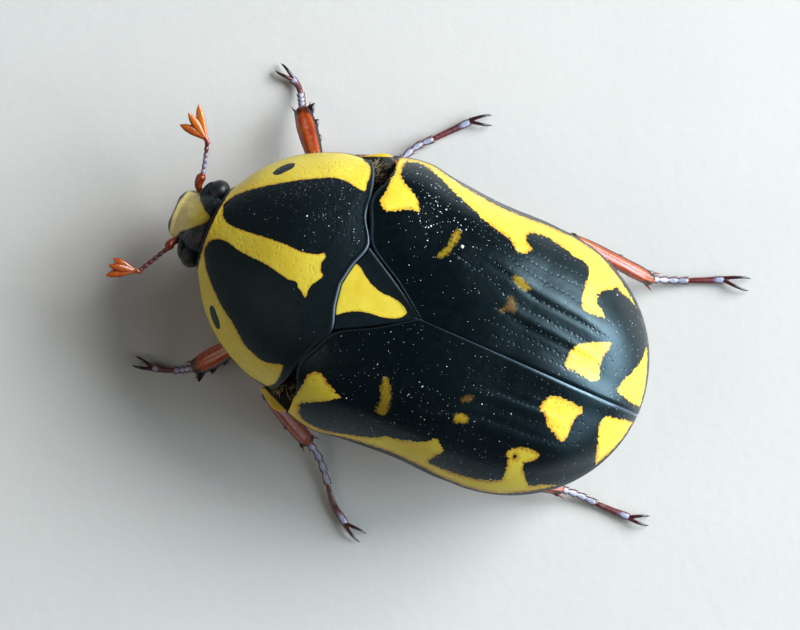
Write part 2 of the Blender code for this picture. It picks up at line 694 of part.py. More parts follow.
def eye(side, name, grow=0.0):
    """A compound eye, or with grow the hollow that it sits in."""
    mesh_bm = bmesh.new()
    bmesh.ops.create_uvsphere(mesh_bm, u_segments=EYE_SIDES, v_segments=EYE_ROWS, radius=1.0)
    for vert in mesh_bm.verts:
        scaled = [vert.co[k] * (EYE_RADII[k] + grow) for k in range(3)]
        vert.co = Vector((side * EYE_CENTRE[0], EYE_CENTRE[1], EYE_CENTRE[2])) + Vector(scaled)
    bmesh.ops.triangulate(mesh_bm, faces=mesh_bm.faces)
    return link(name, mesh_bm, "eye_lens")


def beaded_sizes():
    """Sizes of the funicle, a row of small beads."""
    sizes = [(0.0, FUNICLE_WAIST, FUNICLE_WAIST)]
    for bead in range(FUNICLE_BEADS):
        middle, end = (bead + BEAD_MIDDLE) / FUNICLE_BEADS, (bead + 1) / FUNICLE_BEADS
        sizes.append((middle, FUNICLE_BEAD, FUNICLE_BEAD))
        sizes.append((end, FUNICLE_WAIST, FUNICLE_WAIST))
    return sizes


def club(name, root, leaves):
    """The antenna's club: three flat leaves spread from one short root."""
    root = Vector(root)
    spread = sum((Vector(tip) for tip in leaves), Vector()) / len(leaves)
    ahead = (spread - root).normalized()
    neck = root + ahead * CLUB_ROOT_LENGTH
    stem = limb(name, (root, (root + neck) / 2, neck), CLUB_ROOT_SIZES, "orange_cuticle")
    blades = []
    for tip in leaves:
        tip = Vector(tip)
        inner = root + ahead * LEAF_ROOT
        middle = inner.lerp(tip, 0.5) + ahead * LEAF_BEND
        blades.append(limb("leaf", (inner, middle, tip), LEAF_SIZES, "orange_cuticle"))
    return combine(stem, blades, "UNION")


def antenna(side_name):
    """Scape, funicle and club of one antenna, each cut clear of what carries it."""
    joints = ANTENNAE[side_name]
    limb(f"antenna_{side_name}_scape", joints["scape"], SCAPE_SIZES, "red_brown_cuticle")
    funicle = limb(f"antenna_{side_name}_funicle", joints["funicle"], beaded_sizes(), "red_brown_cuticle")
    swollen_scape = limb("cutter", joints["scape"], SCAPE_SIZES, "red_brown_cuticle", grow=GAP)
    combine(funicle, [swollen_scape], "DIFFERENCE")
    leaves = club(f"antenna_{side_name}_club", joints["funicle"][-1], joints["leaves"])
    swollen_funicle = limb("cutter", joints["funicle"], beaded_sizes(), "red_brown_cuticle", grow=GAP)
    combine(leaves, [swollen_funicle], "DIFFERENCE")


def tooth(base, tip, radius, grow=0.0):
    """A pointed tooth or spur from base to tip."""
    base, tip = Vector(base), Vector(tip)
    ahead = (tip - base).normalized()
    side = ahead.cross(Vector((0, 0, 1))).normalized()
    rise = side.cross(ahead)
    turns = [2 * math.pi * k / TOOTH_SIDES for k in range(TOOTH_SIDES)]
    rings = []
    for centre, size in ((base - ahead * grow, radius + grow), (tip + ahead * grow, TOOTH_POINT + grow)):
        rings.append([centre + (side * math.cos(t) + rise * math.sin(t)) * size for t in turns])
    return loft("tooth", rings, "red_brown_cuticle")


def tibia(name, kind, side, knee, ankle, grow=0.0):
    """A tibia with the teeth of its outer edge and two spurs at its end, or with grow a swollen copy."""
    knee, ankle = Vector(knee), Vector(ankle)
    ahead = (ankle - knee).normalized()
    path = (knee, knee.lerp(ankle, 0.5), ankle)
    shaft = limb(name, path, TIBIA_SIZES[kind], "red_brown_cuticle", grow=grow)
    # The toothed edge faces away from the body. The front legs reach forward, so on them it looks back.
    turned = -side if kind == "front" else side
    outward = ahead.cross(Vector((0, 0, turned))).normalized()
    width = smooth([(s, w) for s, w, _ in TIBIA_SIZES[kind]])
    teeth = []
    for share, length, lean in TIBIA_TEETH[kind]:
        base = knee.lerp(ankle, share) + outward * (width(share) - TOOTH_SINK)
        tip = base + (outward + ahead * lean).normalized() * (length + TOOTH_SINK)
        teeth.append(tooth(base, tip, TOOTH_RADIUS, grow))
    for turn in (-1, 1):
        base = ankle - ahead * SPUR_SINK + outward * turn * SPUR_APART - Vector((0, 0, SPUR_DROP))
        lean = (ahead + outward * turn * SPUR_LEAN).normalized()
        teeth.append(tooth(base, base + lean * SPUR_LENGTH, SPUR_RADIUS, grow))
    return combine(shaft, teeth, "UNION")


def tarsus_sizes():
    """Sizes of the foot: four short joints and a long last one."""
    sizes = [(0.0, TARSUS_WAIST, TARSUS_WAIST)]
    start = 0.0
    for share in TARSUS_SHARES:
        sizes.append((start + (share - start) * TARSUS_SWELL_PLACE, TARSUS_SWELL, TARSUS_THICK))
        sizes.append((share, TARSUS_WAIST, TARSUS_WAIST))
        start = share
    sizes.append((TARSUS_LAST, TARSUS_SWELL, TARSUS_THICK))
    sizes.append((1.0, TARSUS_WAIST, TARSUS_WAIST))
    return sizes


def tarsus(name, joints):
    """A foot with its two claws, flat underneath where it lies on the floor."""
    path = (joints["ankle"],) + joints["foot"]
    foot = limb(name, path, tarsus_sizes(), "red_brown_cuticle")
    end, tip = Vector(joints["foot"][-1]), Vector(joints["claws"])
    ahead = tip - end
    aside = Vector((-ahead.y, ahead.x, 0.0))
    claws = []
    for turn in (-1, 1):
        root = end - ahead * CLAW_SINK + aside * turn * CLAW_ROOT_APART
        middle = end.lerp(tip, 0.5) + aside * turn * CLAW_BEND_APART + Vector((0, 0, CLAW_ARCH))
        hook = (root, middle, tip - ahead * CLAW_HOOK + aside * turn * CLAW_SPREAD)
        claws.append(limb("claw", hook, CLAW_SIZES, "red_brown_cuticle", sides=CLAW_SIDES))
    combine(foot, claws, "UNION")
    return combine(foot, [below_floor()], "DIFFERENCE")


def leg(leg_name):
    """Coxa, femur, tibia and tarsus of one leg, each cut clear of the one before it."""
    joints = LEG_JOINTS[leg_name]
    kind = leg_name.split("_")[0]
    side = 1 if leg_name.endswith("left") else -1
    coxa_end = joints["coxa"][1]
    coxa_path = (joints["coxa"][0], Vector(joints["coxa"][0]).lerp(Vector(coxa_end), 0.5), coxa_end)
    femur_path = (coxa_end, Vector(coxa_end).lerp(Vector(joints["knee"]), 0.5), joints["knee"])
    coxa = limb(f"leg_{leg_name}_coxa", coxa_path, COXA_SIZES, "black_cuticle")
    femur = limb(f"leg_{leg_name}_femur", femur_path, FEMUR_SIZES, "red_brown_cuticle")
    shin = tibia(f"leg_{leg_name}_tibia", kind, side, joints["knee"], joints["ankle"])
    foot = tarsus(f"leg_{leg_name}_tarsus", joints)
    combine(foot, [tibia("cutter", kind, side, joints["knee"], joints["ankle"], grow=GAP)], "DIFFERENCE")
    combine(shin, [limb("cutter", femur_path, FEMUR_SIZES, "red_brown_cuticle", grow=GAP)], "DIFFERENCE")
    combine(femur, [limb("cutter", coxa_path, COXA_SIZES, "black_cuticle", grow=GAP)], "DIFFERENCE")
    return [
        limb("hollow", coxa_path, COXA_SIZES, "black_cuticle", grow=GAP),
        limb("hollow", femur_path, FEMUR_SIZES, "red_brown_cuticle", grow=GAP),
    ]


def make_materials():
    """One Principled material for each finish."""
    made = {}
    for name, (colour, roughness, metallic) in FINISHES.items():
        material = bpy.data.materials.new(name)
        material.use_nodes = True
        shader = material.node_tree.nodes["Principled BSDF"]
        shader.inputs["Base Color"].default_value = colour
        shader.inputs["Roughness"].default_value = roughness
        shader.inputs["Metallic"].default_value = metallic
        made[name] = material
    return made


def shade(obj):
    """Smooth shading with creases kept."""
    obj.data.shade_smooth()
    obj.data.set_sharp_from_angle(angle=math.radians(CREASE_ANGLE))


def centre_on_floor(objects):
    """Shifts every mesh so that the origin is on the floor under the middle of the outline."""
    corners = [v.co for obj in objects for v in obj.data.vertices]
    shift = Vector((
        -(min(c.x for c in corners) + max(c.x for c in corners)) / 2,
        -(min(c.y for c in corners) + max(c.y for c in corners)) / 2,
        -min(c.z for c in corners),
    ))
    for obj in objects:
        for vert in obj.data.vertices:
            vert.co += shift


for leftover in list(bpy.data.objects):
    bpy.data.objects.remove(leftover)
materials = make_materials()

elytron(1, "elytron_left")
elytron(-1, "elytron_right")
pronotum()
scutellum()
side_plate(1, "mesepimeron_left")
side_plate(-1, "mesepimeron_right")
bodies = [prosternum(), thorax(), abdomen()]
pygidium()
skull = head()
for side, side_name in ((1, "left"), (-1, "right")):
    eye(side, f"eye_{side_name}")
    combine(skull, [eye(side, "cutter", grow=GAP)], "DIFFERENCE")
    antenna(side_name)
    scape_hollow = limb("cutter", ANTENNAE[side_name]["scape"], SCAPE_SIZES, "black_cuticle", grow=GAP)
    combine(skull, [scape_hollow], "DIFFERENCE")
    palp_path = [(side * x, y, z) for x, y, z in PALP_PATH]
    limb(f"palp_{side_name}", palp_path, PALP_SIZES, "orange_cuticle")
    palp_hollow = limb("cutter", palp_path, PALP_SIZES, "black_cuticle", grow=GAP)
    combine(skull, [palp_hollow], "DIFFERENCE")
for leg_name in LEG_JOINTS:
    hollows = leg(leg_name)
    for body in bodies:
        for hollow in hollows:
            if near(body, hollow):
                copy = hollow.copy()
                bpy.context.scene.collection.objects.link(copy)
                combine(body, [copy], "DIFFERENCE")
    for hollow in hollows:
        bpy.data.objects.remove(hollow)

parts = [obj for obj in bpy.data.objects if obj.type == "MESH"]
centre_on_floor(parts)
for part in parts:
    shade(part)
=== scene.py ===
# %% [markdown]
# A fruit chafer in black and yellow
# This notebook dresses the imported solids of a fruit chafer, a beetle about 25 mm long, standing on its six
# feet. The solids give the place and the main shape of every part. Here each part is made again with a fine
# surface, its punctures, rims, hairs and markings, and its own finish. The first step loads the solids. The
# finished beetle may not outgrow it.

# %% Load the imported beetle
import math

import bpy
import numpy as np
from mathutils import Matrix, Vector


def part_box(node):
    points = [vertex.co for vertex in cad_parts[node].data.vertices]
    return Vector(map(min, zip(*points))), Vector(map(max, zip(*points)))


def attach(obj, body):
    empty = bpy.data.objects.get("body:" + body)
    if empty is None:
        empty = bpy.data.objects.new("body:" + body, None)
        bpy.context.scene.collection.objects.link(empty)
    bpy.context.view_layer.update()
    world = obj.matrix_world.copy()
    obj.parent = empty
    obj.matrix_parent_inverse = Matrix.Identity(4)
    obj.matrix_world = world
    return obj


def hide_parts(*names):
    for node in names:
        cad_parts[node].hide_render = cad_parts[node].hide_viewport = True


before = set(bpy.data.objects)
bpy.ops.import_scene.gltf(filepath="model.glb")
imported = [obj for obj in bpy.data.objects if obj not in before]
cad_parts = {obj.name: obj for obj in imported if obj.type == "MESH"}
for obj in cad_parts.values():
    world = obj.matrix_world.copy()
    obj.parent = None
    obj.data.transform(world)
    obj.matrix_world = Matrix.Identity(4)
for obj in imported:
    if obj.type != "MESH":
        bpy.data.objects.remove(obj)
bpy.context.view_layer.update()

print("nodes:", len(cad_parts))

# %% [markdown]
# Every size below is in millimetres in the beetle's own frame: the head points to -Y, the tip of the small
# triangle between the wing cases is near y = 0, the beetle's left is +X and the floor is z = 0. The packed
# solids were shifted so that their origin is under the middle of the outline. The pronotum tells how far,
# because its middle and its front tip are known in both frames.

# %% Find the beetle's own frame
MM = 0.001
SIDES = {"left": 1, "right": -1}
UPWARD = np.array([0.0, 0.0, 1.0])
PRONOTUM_TIP = -11.18
low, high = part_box("pronotum")
SHIFT = np.array([(low.x + high.x) / 2 / MM, low.y / MM - PRONOTUM_TIP, 0.0])


def to_row(points):
    """Points of the beetle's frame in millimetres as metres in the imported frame."""
    return (np.asarray(points, float) + SHIFT) * MM


print("shift in mm:", np.round(SHIFT, 3))

# %% [markdown]
# The camera looks almost straight down, as in the photograph, with the head towards the left. It is a long
# lens close to the beetle. Its place, turn and lean are given by the pixels of the landmarks on the back.

# %% Set up the camera
TARGET = np.array([0.223, -1.042, 9.6])
LOOK = np.array([0.0056, 0.0054, -1.0])
CAMERA_TURN = math.radians(23.73)
CAMERA_DISTANCE = 150.0
SENSOR_MM = 36.0
FRAME_WIDTH_MM = 37.87


def unit(vectors):
    """Vectors along the last axis at length 1."""
    return vectors / np.maximum(np.linalg.norm(vectors, axis=-1, keepdims=True), 1e-12)


def put_in_place(name, data, spot, axes):
    """A camera or lamp at a place of the beetle's frame, turned to three axes."""
    thing = bpy.data.objects.new(name, data)
    bpy.context.scene.collection.objects.link(thing)
    turn = Matrix(np.stack(axes, axis=1).tolist()).to_4x4()
    thing.matrix_world = Matrix.Translation(to_row(spot)) @ turn
    return thing


look = unit(LOOK)
picture_right = np.array([-math.sin(CAMERA_TURN), math.cos(CAMERA_TURN), 0.0])
picture_right = unit(picture_right - look * (picture_right @ look))
picture_up = np.cross(picture_right, look)
lens = bpy.data.cameras.new("camera")
lens.sensor_width = SENSOR_MM
lens.lens = SENSOR_MM * CAMERA_DISTANCE / FRAME_WIDTH_MM
lens.clip_start = 10.0 * MM
lens.clip_end = 5000.0 * MM
bpy.context.scene.camera = put_in_place("camera", lens, TARGET - look * CAMERA_DISTANCE,
                                        [picture_right, picture_up, -look])
print("camera lens in mm:", round(lens.lens, 1))

# %% [markdown]
# Materials are node trees. One small helper adds a node beside an earlier one and fills its inputs, so that
# a finish reads as a list of steps. Another starts a finish and gives the place on the beetle in
# millimetres, so that the scale of every noise is a count of grains in a millimetre. The last one links the
# colour, the roughness and the relief to the shader.

# %% Make node helpers
def add(near, kind, inputs=None, **settings):
    """Adds a shader node beside a node or socket, sets its properties and fills or links its inputs."""
    tree = near.id_data
    node = tree.nodes.new("ShaderNode" + kind)
    for key, value in settings.items():
        setattr(node, key, value)
    for key, value in (inputs or {}).items():
        if isinstance(value, bpy.types.NodeSocket):
            tree.links.new(value, node.inputs[key])
        else:
            node.inputs[key].default_value = value
    return node


def new_finish(name, **constants):
    """A Principled material with some sockets set, its shader and the place in millimetres."""
    material = bpy.data.materials.new(name)
    material.use_nodes = True
    shader = material.node_tree.nodes["Principled BSDF"]
    for socket, value in constants.items():
        shader.inputs[socket.replace("_", " ").title().replace("Ior", "IOR")].default_value = value
    place = add(shader, "TexCoord").outputs["Object"]
    place_mm = add(shader, "VectorMath", {0: place, "Scale": 1 / MM}, operation="SCALE").outputs[0]
    return material, shader, place_mm


def noise(place, scale, detail=2.0):
    """Noise between 0 and 1, with scale grains in a millimetre."""
    return add(place, "TexNoise", {"Vector": place, "Scale": scale, "Detail": detail}).outputs["Fac"]


def combine(operation, first, second):
    """The result of an operation on two numbers, of which at least one is a socket."""
    near = first if isinstance(first, bpy.types.NodeSocket) else second
    return add(near, "Math", {0: first, 1: second}, operation=operation).outputs[0]


def plus(first, second):
    """The sum of two numbers."""
    return combine("ADD", first, second)


def minus(first, second):
    """The first number less the second."""
    return combine("SUBTRACT", first, second)


def times(first, second):
    """The product of two numbers."""
    return combine("MULTIPLY", first, second)


def jitter(place, scale, amount):
    """Noise to both sides of 0, half as much as amount each way."""
    return times(minus(noise(place, scale, 3.0), 0.5), amount)


def ramp(value, low, high, out_low=0.0, out_high=1.0):
    """Runs from out_low to out_high while value goes from low to high, and stays level beyond."""
    inputs = {"Value": value, "From Min": low, "From Max": high, "To Min": out_low, "To Max": out_high}
    return add(value, "MapRange", inputs).outputs[0]


def uneven(place, scale, low, high, detail=3.0):
    """A number that wanders between low and high from place to place."""
    return ramp(noise(place, scale, detail), 0.2, 0.8, low, high)


def mix_colours(share, first, second):
    """A mixture of two colours, with a share of the second."""
    return add(share, "Mix", {0: share, 6: first, 7: second}, data_type="RGBA").outputs[2]


def field(place, name):
    """A number that the mesh carries at each of its points."""
    return add(place, "Attribute", attribute_name=name).outputs["Fac"]


def bump(height, distance_mm, normal=None):
    """A fine relief of the surface."""
    inputs = {"Height": height, "Distance": distance_mm * MM, "Strength": 1.0}
    if normal is not None:
        inputs["Normal"] = normal
    return add(height, "Bump", inputs).outputs[0]


def dress(shader, colour, gloss=None, relief=None):
    """Links a finish's colour, roughness and relief to its shader."""
    for socket, source in (("Base Color", colour), ("Roughness", gloss), ("Normal", relief)):
        if source is not None:
            shader.id_data.links.new(source, shader.inputs[socket])


print("node helpers ready")

# %% [markdown]
# The floor is a plain pale sheet that darkens far from the beetle, so that its black flanks don't mirror it,
# and the light is soft, as under a thin cloud. The brighter part of the sky lies low beyond the right of the
# picture, so the beetle's rear and right side take the sheen, while the flat top of its back mirrors only the
# dim sky above and stays black. Two large cool area lights on the right, one low and one higher, a weak cool
# one towards the tail, a faint warm one on the left and a dim surrounding are enough. The plain view keeps
# strong yellows strong.

# %% Lay the floor and hang the lights
FLOOR_HALF = 400.0
FLOOR_COLOUR = (0.6, 0.59, 0.57, 1.0)
FLOOR_LIGHT = (0.64, 0.63, 0.61, 1.0)
FLOOR_FAR_OFF = (0.1, 0.1, 0.1, 1.0)
SKY_COLOUR = (0.8, 0.9, 1.0, 1.0)
SKY_STRENGTH = 0.07

floor_finish, shader, place = new_finish("pale_floor", roughness=0.85)
tint = mix_colours(noise(place, 0.15, 3.0), FLOOR_COLOUR, FLOOR_LIGHT)
distance = add(place, "VectorMath", {0: place}, operation="LENGTH").outputs["Value"]
tint = mix_colours(ramp(distance, 26.0, 60.0), tint, FLOOR_FAR_OFF)
dress(shader, tint, relief=bump(noise(place, 1.5, 4.0), 0.015))

floor_mesh = bpy.data.meshes.new("floor")
corners = [(x * FLOOR_HALF * MM, y * FLOOR_HALF * MM, 0.0) for x, y in ((-1, -1), (1, -1), (1, 1), (-1, 1))]
floor_mesh.from_pydata(corners, [], [(0, 1, 2, 3)])
floor_mesh.materials.append(floor_finish)
floor = bpy.data.objects.new("floor", floor_mesh)
bpy.context.scene.collection.objects.link(floor)

# name, direction in the picture (right, up, towards the camera), distance, size, watts, colour
LIGHTS = (
    ("sky_upper_right", (0.72, 0.44, 0.52), 320.0, 210.0, 1.45, (0.95, 0.98, 1.0)),
    ("sky_low_right", (0.92, 0.03, 0.36), 330.0, 240.0, 1.6, (0.8, 0.93, 1.0)),
    ("sky_low_rear", (0.72, -0.5, 0.44), 330.0, 190.0, 0.18, (0.75, 0.9, 1.0)),
    ("glow_left", (-0.75, -0.2, 0.6), 340.0, 200.0, 0.15, (1.0, 0.86, 0.66)),
)
for name, direction, distance, size, watts, colour in LIGHTS:
    lamp = bpy.data.lights.new(name, "AREA")
    lamp.shape = "DISK"
    lamp.size = size * MM
    lamp.energy = watts
    lamp.color = colour
    right, upward, back = direction
    aim = unit(picture_right * right + picture_up * upward - look * back)
    side = unit(np.cross(picture_up, aim))
    put_in_place(name, lamp, TARGET + aim * distance, [side, np.cross(aim, side), aim])

world = bpy.data.worlds.new("soft_sky")
world.use_nodes = True
background = world.node_tree.nodes["Background"]
background.inputs["Color"].default_value = SKY_COLOUR
background.inputs["Strength"].default_value = SKY_STRENGTH
bpy.context.scene.world = world
bpy.context.scene.view_settings.view_transform = "Standard"
print("lights:", len(LIGHTS))

# %% [markdown]
# A beetle's shell is smooth and measured, so its parts are made as grids of points from a few named curves
# rather than modelled by hand. This way a curve can be read, changed and checked, and the same curve shapes
# the back from one end to the other. A curve is given by a few places and values, joined smoothly.

# %% Make smooth curves and grids
# rounds after which a front or hind line that depends on itself has settled
SETTLING_ROUNDS = 30
LATTICE_CELLS = 32


def smooth(points):
    """Returns a function that runs smoothly through (place, value) pairs and stays level beyond them."""
    places = np.array([p for p, _ in points], float)
    values = np.array([v for _, v in points], float)
    last = len(points) - 1
    before = np.maximum(np.arange(last + 1) - 1, 0)
    after = np.minimum(np.arange(last + 1) + 1, last)
    slopes = (values[after] - values[before]) / (places[after] - places[before])

    def value(place):
        place = np.clip(np.asarray(place, float), places[0], places[-1])
        i = np.clip(np.searchsorted(places, place, side="right") - 1, 0, last - 1)
        span = places[i + 1] - places[i]
        t = (place - places[i]) / span
        bend = t * t * (3 - 2 * t)
        pull = span * (t * (1 - t) ** 2 * slopes[i] - t * t * (1 - t) * slopes[i + 1])
        return values[i] * (1 - bend) + values[i + 1] * bend + pull

    return value


def step_between(value, low, high):
    """Runs smoothly from 0 at low to 1 at high."""
    t = np.clip((value - low) / (high - low), 0.0, 1.0)
    return t * t * (3 - 2 * t)


def bell(value, width):
    """A hill that is 1 where value is 0 and falls to about a third at width."""
    return np.exp(-((value / width) ** 2))


def across(angle, power):
    """Share of the half-width reached at an angle from the ridge, with its sign."""
    sine = np.sin(np.radians(angle))
    return np.sign(sine) * np.abs(sine) ** (2 / power)


def up(angle, power):
    """Share of the height left at an angle from the ridge."""
    return np.maximum(np.cos(np.radians(angle)), 0.0) ** (2 / power)


def even_angles(powers, half, rise, count):
    """Angles from the ridge to the edge that lie evenly along the curve of a back of that size."""
    angle = np.linspace(0.0, 90.0, 1441)
    x, z = half * across(angle, powers[0]), rise * up(angle, powers[1])
    reach = np.concatenate([[0.0], np.cumsum(np.hypot(np.diff(x), np.diff(z)))])
    return np.interp(np.linspace(0.0, reach[-1], count), reach, angle)


def reach_along(grid):
    """How far each point of a grid lies along its row, measured over the surface."""
    steps = np.linalg.norm(np.diff(grid, axis=1), axis=-1)
    return np.concatenate([np.zeros((len(grid), 1)), np.cumsum(steps, axis=1)], axis=1)


def grid_normals(surface, outward):
    """Normals of a grid of points, on the side of outward."""
    down_rows = np.gradient(surface, axis=0)
    along_columns = np.gradient(surface, axis=1)
    normal = unit(np.cross(down_rows, along_columns))
    return normal * np.sign(np.sum(normal * outward, axis=-1, keepdims=True) + 1e-9)


def grid_faces(rows, columns, closed=False):
    """Faces of a grid of points, which closes on itself sideways if asked."""
    index = np.arange(rows * columns).reshape(rows, columns)
    left = index if closed else index[:, :-1]
    right = np.roll(index, -1, axis=1) if closed else index[:, 1:]
    return np.stack([left[:-1], right[:-1], right[1:], left[1:]], axis=-1).reshape(-1, 4).tolist()


def soft_noise(points, size, seed):
    """Smooth random heights between -1 and 1, with waves about size apart."""
    lattice = np.random.default_rng(seed).uniform(-1, 1, (LATTICE_CELLS,) * 3)
    cell = np.floor(np.asarray(points) / size)
    t = np.asarray(points) / size - cell
    t = t * t * (3 - 2 * t)
    cell = cell.astype(int)
    total = 0.0
    for corner in np.ndindex(2, 2, 2):
        weight = np.prod(np.where(corner, t, 1 - t), axis=-1)
        i, j, k = ((cell[..., axis] + corner[axis]) % LATTICE_CELLS for axis in range(3))
        total = total + weight * lattice[i, j, k]
    return total


print("grid of 3 by 4 points has", len(grid_faces(3, 4)), "faces")

# %% [markdown]
# The next helper turns points and faces into an object. It sets the outside of the faces, hands the mesh the
# fields that the finishes read, such as how deep a point lies inside a yellow patch, ties the object to the
# solids' one body and hides the solids that it stands for.

# %% Turn points and faces into pieces
triangles = {}


def outside_out(points, faces):
    """The faces with their order turned so that they look away from the middle of the shape."""
    points = np.asarray(points)
    quads = np.array([face[:4] if len(face) >= 4 else face + face[-1:] for face in faces])
    a, b, c, d = (points[quads[:, k]] for k in range(4))
    flow = np.sum(np.cross(c - a, d - b) * ((a + c) / 2 - points.mean(axis=0)))
    return faces if flow > 0 else [face[::-1] for face in faces]


def join(shapes):
    """Several shapes as one: points, faces and fields."""
    points, faces, fields, count = [], [], {}, 0
    for shape_points, shape_faces, shape_fields in shapes:
        points.append(np.asarray(shape_points).reshape(-1, 3))
        faces += [[i + count for i in face] for face in shape_faces]
        for key, values in shape_fields.items():
            fields.setdefault(key, []).append(np.broadcast_to(values, (len(points[-1]),)))
        count += len(points[-1])
    return np.concatenate(points), faces, {key: np.concatenate(values) for key, values in fields.items()}


def make_piece(name, shape, finish, slot, *nodes, bake_places=None):
    """An object from a shape, with its finish and the solids it stands for. The slot is not used."""
    points, faces, fields = shape
    mesh = bpy.data.meshes.new(name)
    mesh.from_pydata(to_row(np.asarray(points).reshape(-1, 3)).tolist(), [], faces)
    for key, values in fields.items():
        column = mesh.attributes.new(key, "FLOAT", "POINT").data
        column.foreach_set("value", np.asarray(values, np.float32).ravel())
    if bake_places is not None:
        corner = np.zeros(len(mesh.loops), np.int32)
        mesh.loops.foreach_get("vertex_index", corner)
        places = bake_places[corner].astype(np.float32).ravel()
        mesh.uv_layers.new(name="OFBake").data.foreach_set("uv", places)
    mesh.materials.append(finish)
    mesh.shade_smooth()
    piece = bpy.data.objects.new(name, mesh)
    bpy.context.scene.collection.objects.link(piece)
    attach(piece, "root")
    if nodes:
        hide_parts(*nodes)
    triangles[name] = sum(len(face) - 2 for face in faces)
    print(f"{name}: {triangles[name]} triangles")


# %% [markdown]
# The plates of the back are thin shells. Seen from above only their outer face shows, but their edges turn
# under, and that rounded edge catches the light as a fine pale line. So each plate is a grid of its outer
# face with a few more rings round it, which run over the edge and down inside.

# %% Turn the edges of a plate under
EDGE_OUT = (0.03, 0.045, 0.035, -0.03, -0.12)
EDGE_DOWN = (0.012, 0.05, 0.11, 0.3, 0.6)


def edge_directions(surface):
    """Directions that lead out of a grid over its rows' ends and over its columns' ends."""
    rows = np.zeros_like(surface)
    rows[0] = unit(surface[0] - surface[1])
    rows[-1] = unit(surface[-1] - surface[-2])
    columns = np.zeros_like(surface)
    columns[:, 0] = unit(surface[:, 0] - surface[:, 1])
    columns[:, -1] = unit(surface[:, -1] - surface[:, -2])
    return rows, columns


def turned_under(surface, normal, fields):
    """A plate's grid with rings added round it that run over the edge and down inside."""
    rings = len(EDGE_OUT)
    rows, columns = surface.shape[:2]
    pad = ((rings, rings), (rings, rings))
    grids = (surface, normal, *edge_directions(surface))
    points, normal, over_rows, over_columns = (np.pad(grid, pad + ((0, 0),), mode="edge") for grid in grids)
    row = np.arange(rows + 2 * rings)[:, None]
    column = np.arange(columns + 2 * rings)[None, :]
    row_depth = np.maximum(np.maximum(rings - row, row - rings - rows + 1), 0)
    column_depth = np.maximum(np.maximum(rings - column, column - rings - columns + 1), 0)
    depth = np.maximum(row_depth, column_depth)
    out = np.array((0.0,) + EDGE_OUT)[depth][..., None]
    down = np.array((0.0,) + EDGE_DOWN)[depth][..., None]
    share = np.maximum(depth, 1)
    lean = over_rows * (row_depth / share)[..., None] + over_columns * (column_depth / share)[..., None]
    points = points + unit(lean) * out * (depth[..., None] > 0) - normal * down
    padded = {key: np.pad(values, pad, mode="edge").ravel() for key, values in fields.items()}
    faces = grid_faces(*points.shape[:2])
    flat = points.reshape(-1, 3)
    return flat, outside_out(flat, faces), padded


print("edge rings:", len(EDGE_OUT))

# %% [markdown]
# The markings are closed outlines in the plan of the back, each a few points, read one by one. A rounded
# curve runs through the points. For each point of a plate the distance to the curve is kept, positive inside,
# and the finish turns that distance into a crisp edge. This gives markings as sharp as the render needs
# without any picture.

# %% Measure how deep a point lies inside an outline
FAR_OUTSIDE = -0.5


def rounded(outline, steps=5):
    """A smooth closed curve through the points of an outline."""
    start = np.array(outline, float)
    end = np.roll(start, -1, axis=0)
    length = np.linalg.norm(end - start, axis=1)[:, None]
    lean = (end - np.roll(start, 1, axis=0)) / (length + np.roll(length, 1, axis=0))
    next_lean = np.roll(lean, -1, axis=0)
    curve = []
    for t in np.arange(steps) / steps:
        bend = t * t * (3 - 2 * t)
        pull = length * (t * (1 - t) ** 2 * lean - t * t * (1 - t) * next_lean)
        curve.append(start * (1 - bend) + end * bend + pull)
    return np.stack(curve, axis=1).reshape(-1, 2)


def depth_inside(outline, x, y):
    """Distance of each point to the outline, positive inside it."""
    loop = rounded(outline)
    low_x, low_y = loop.min(axis=0) + FAR_OUTSIDE
    high_x, high_y = loop.max(axis=0) - FAR_OUTSIDE
    close = (x > low_x) & (x < high_x) & (y > low_y) & (y < high_y)
    x, y = x[close], y[close]
    nearest = np.full(x.shape, 9.0)
    inside = np.zeros(x.shape, bool)
    for (ax, ay), (bx, by) in zip(loop, np.roll(loop, -1, axis=0)):
        dx, dy = bx - ax, by - ay
        t = np.clip(((x - ax) * dx + (y - ay) * dy) / (dx * dx + dy * dy + 1e-12), 0, 1)
        nearest = np.minimum(nearest, np.hypot(x - ax - t * dx, y - ay - t * dy))
        crosses = (ay > y) != (by > y)
        inside ^= crosses & (x < ax + (y - ay) * dx / (dy if dy else 1.0))
    depth = np.full(close.shape, FAR_OUTSIDE)
    depth[close] = np.maximum(np.where(inside, nearest, -nearest), FAR_OUTSIDE)
    return depth


def deepest(outlines, x, y):
    """The depth inside whichever of several outlines is deepest."""
    return np.max([depth_inside(outline, x, y) for outline in outlines], axis=0)


square = ((-1, -1), (1, -1), (1, 1), (-1, 1))
print("the middle of a 2 mm square lies", depth_inside(square, np.zeros(1), np.zeros(1)), "mm deep")
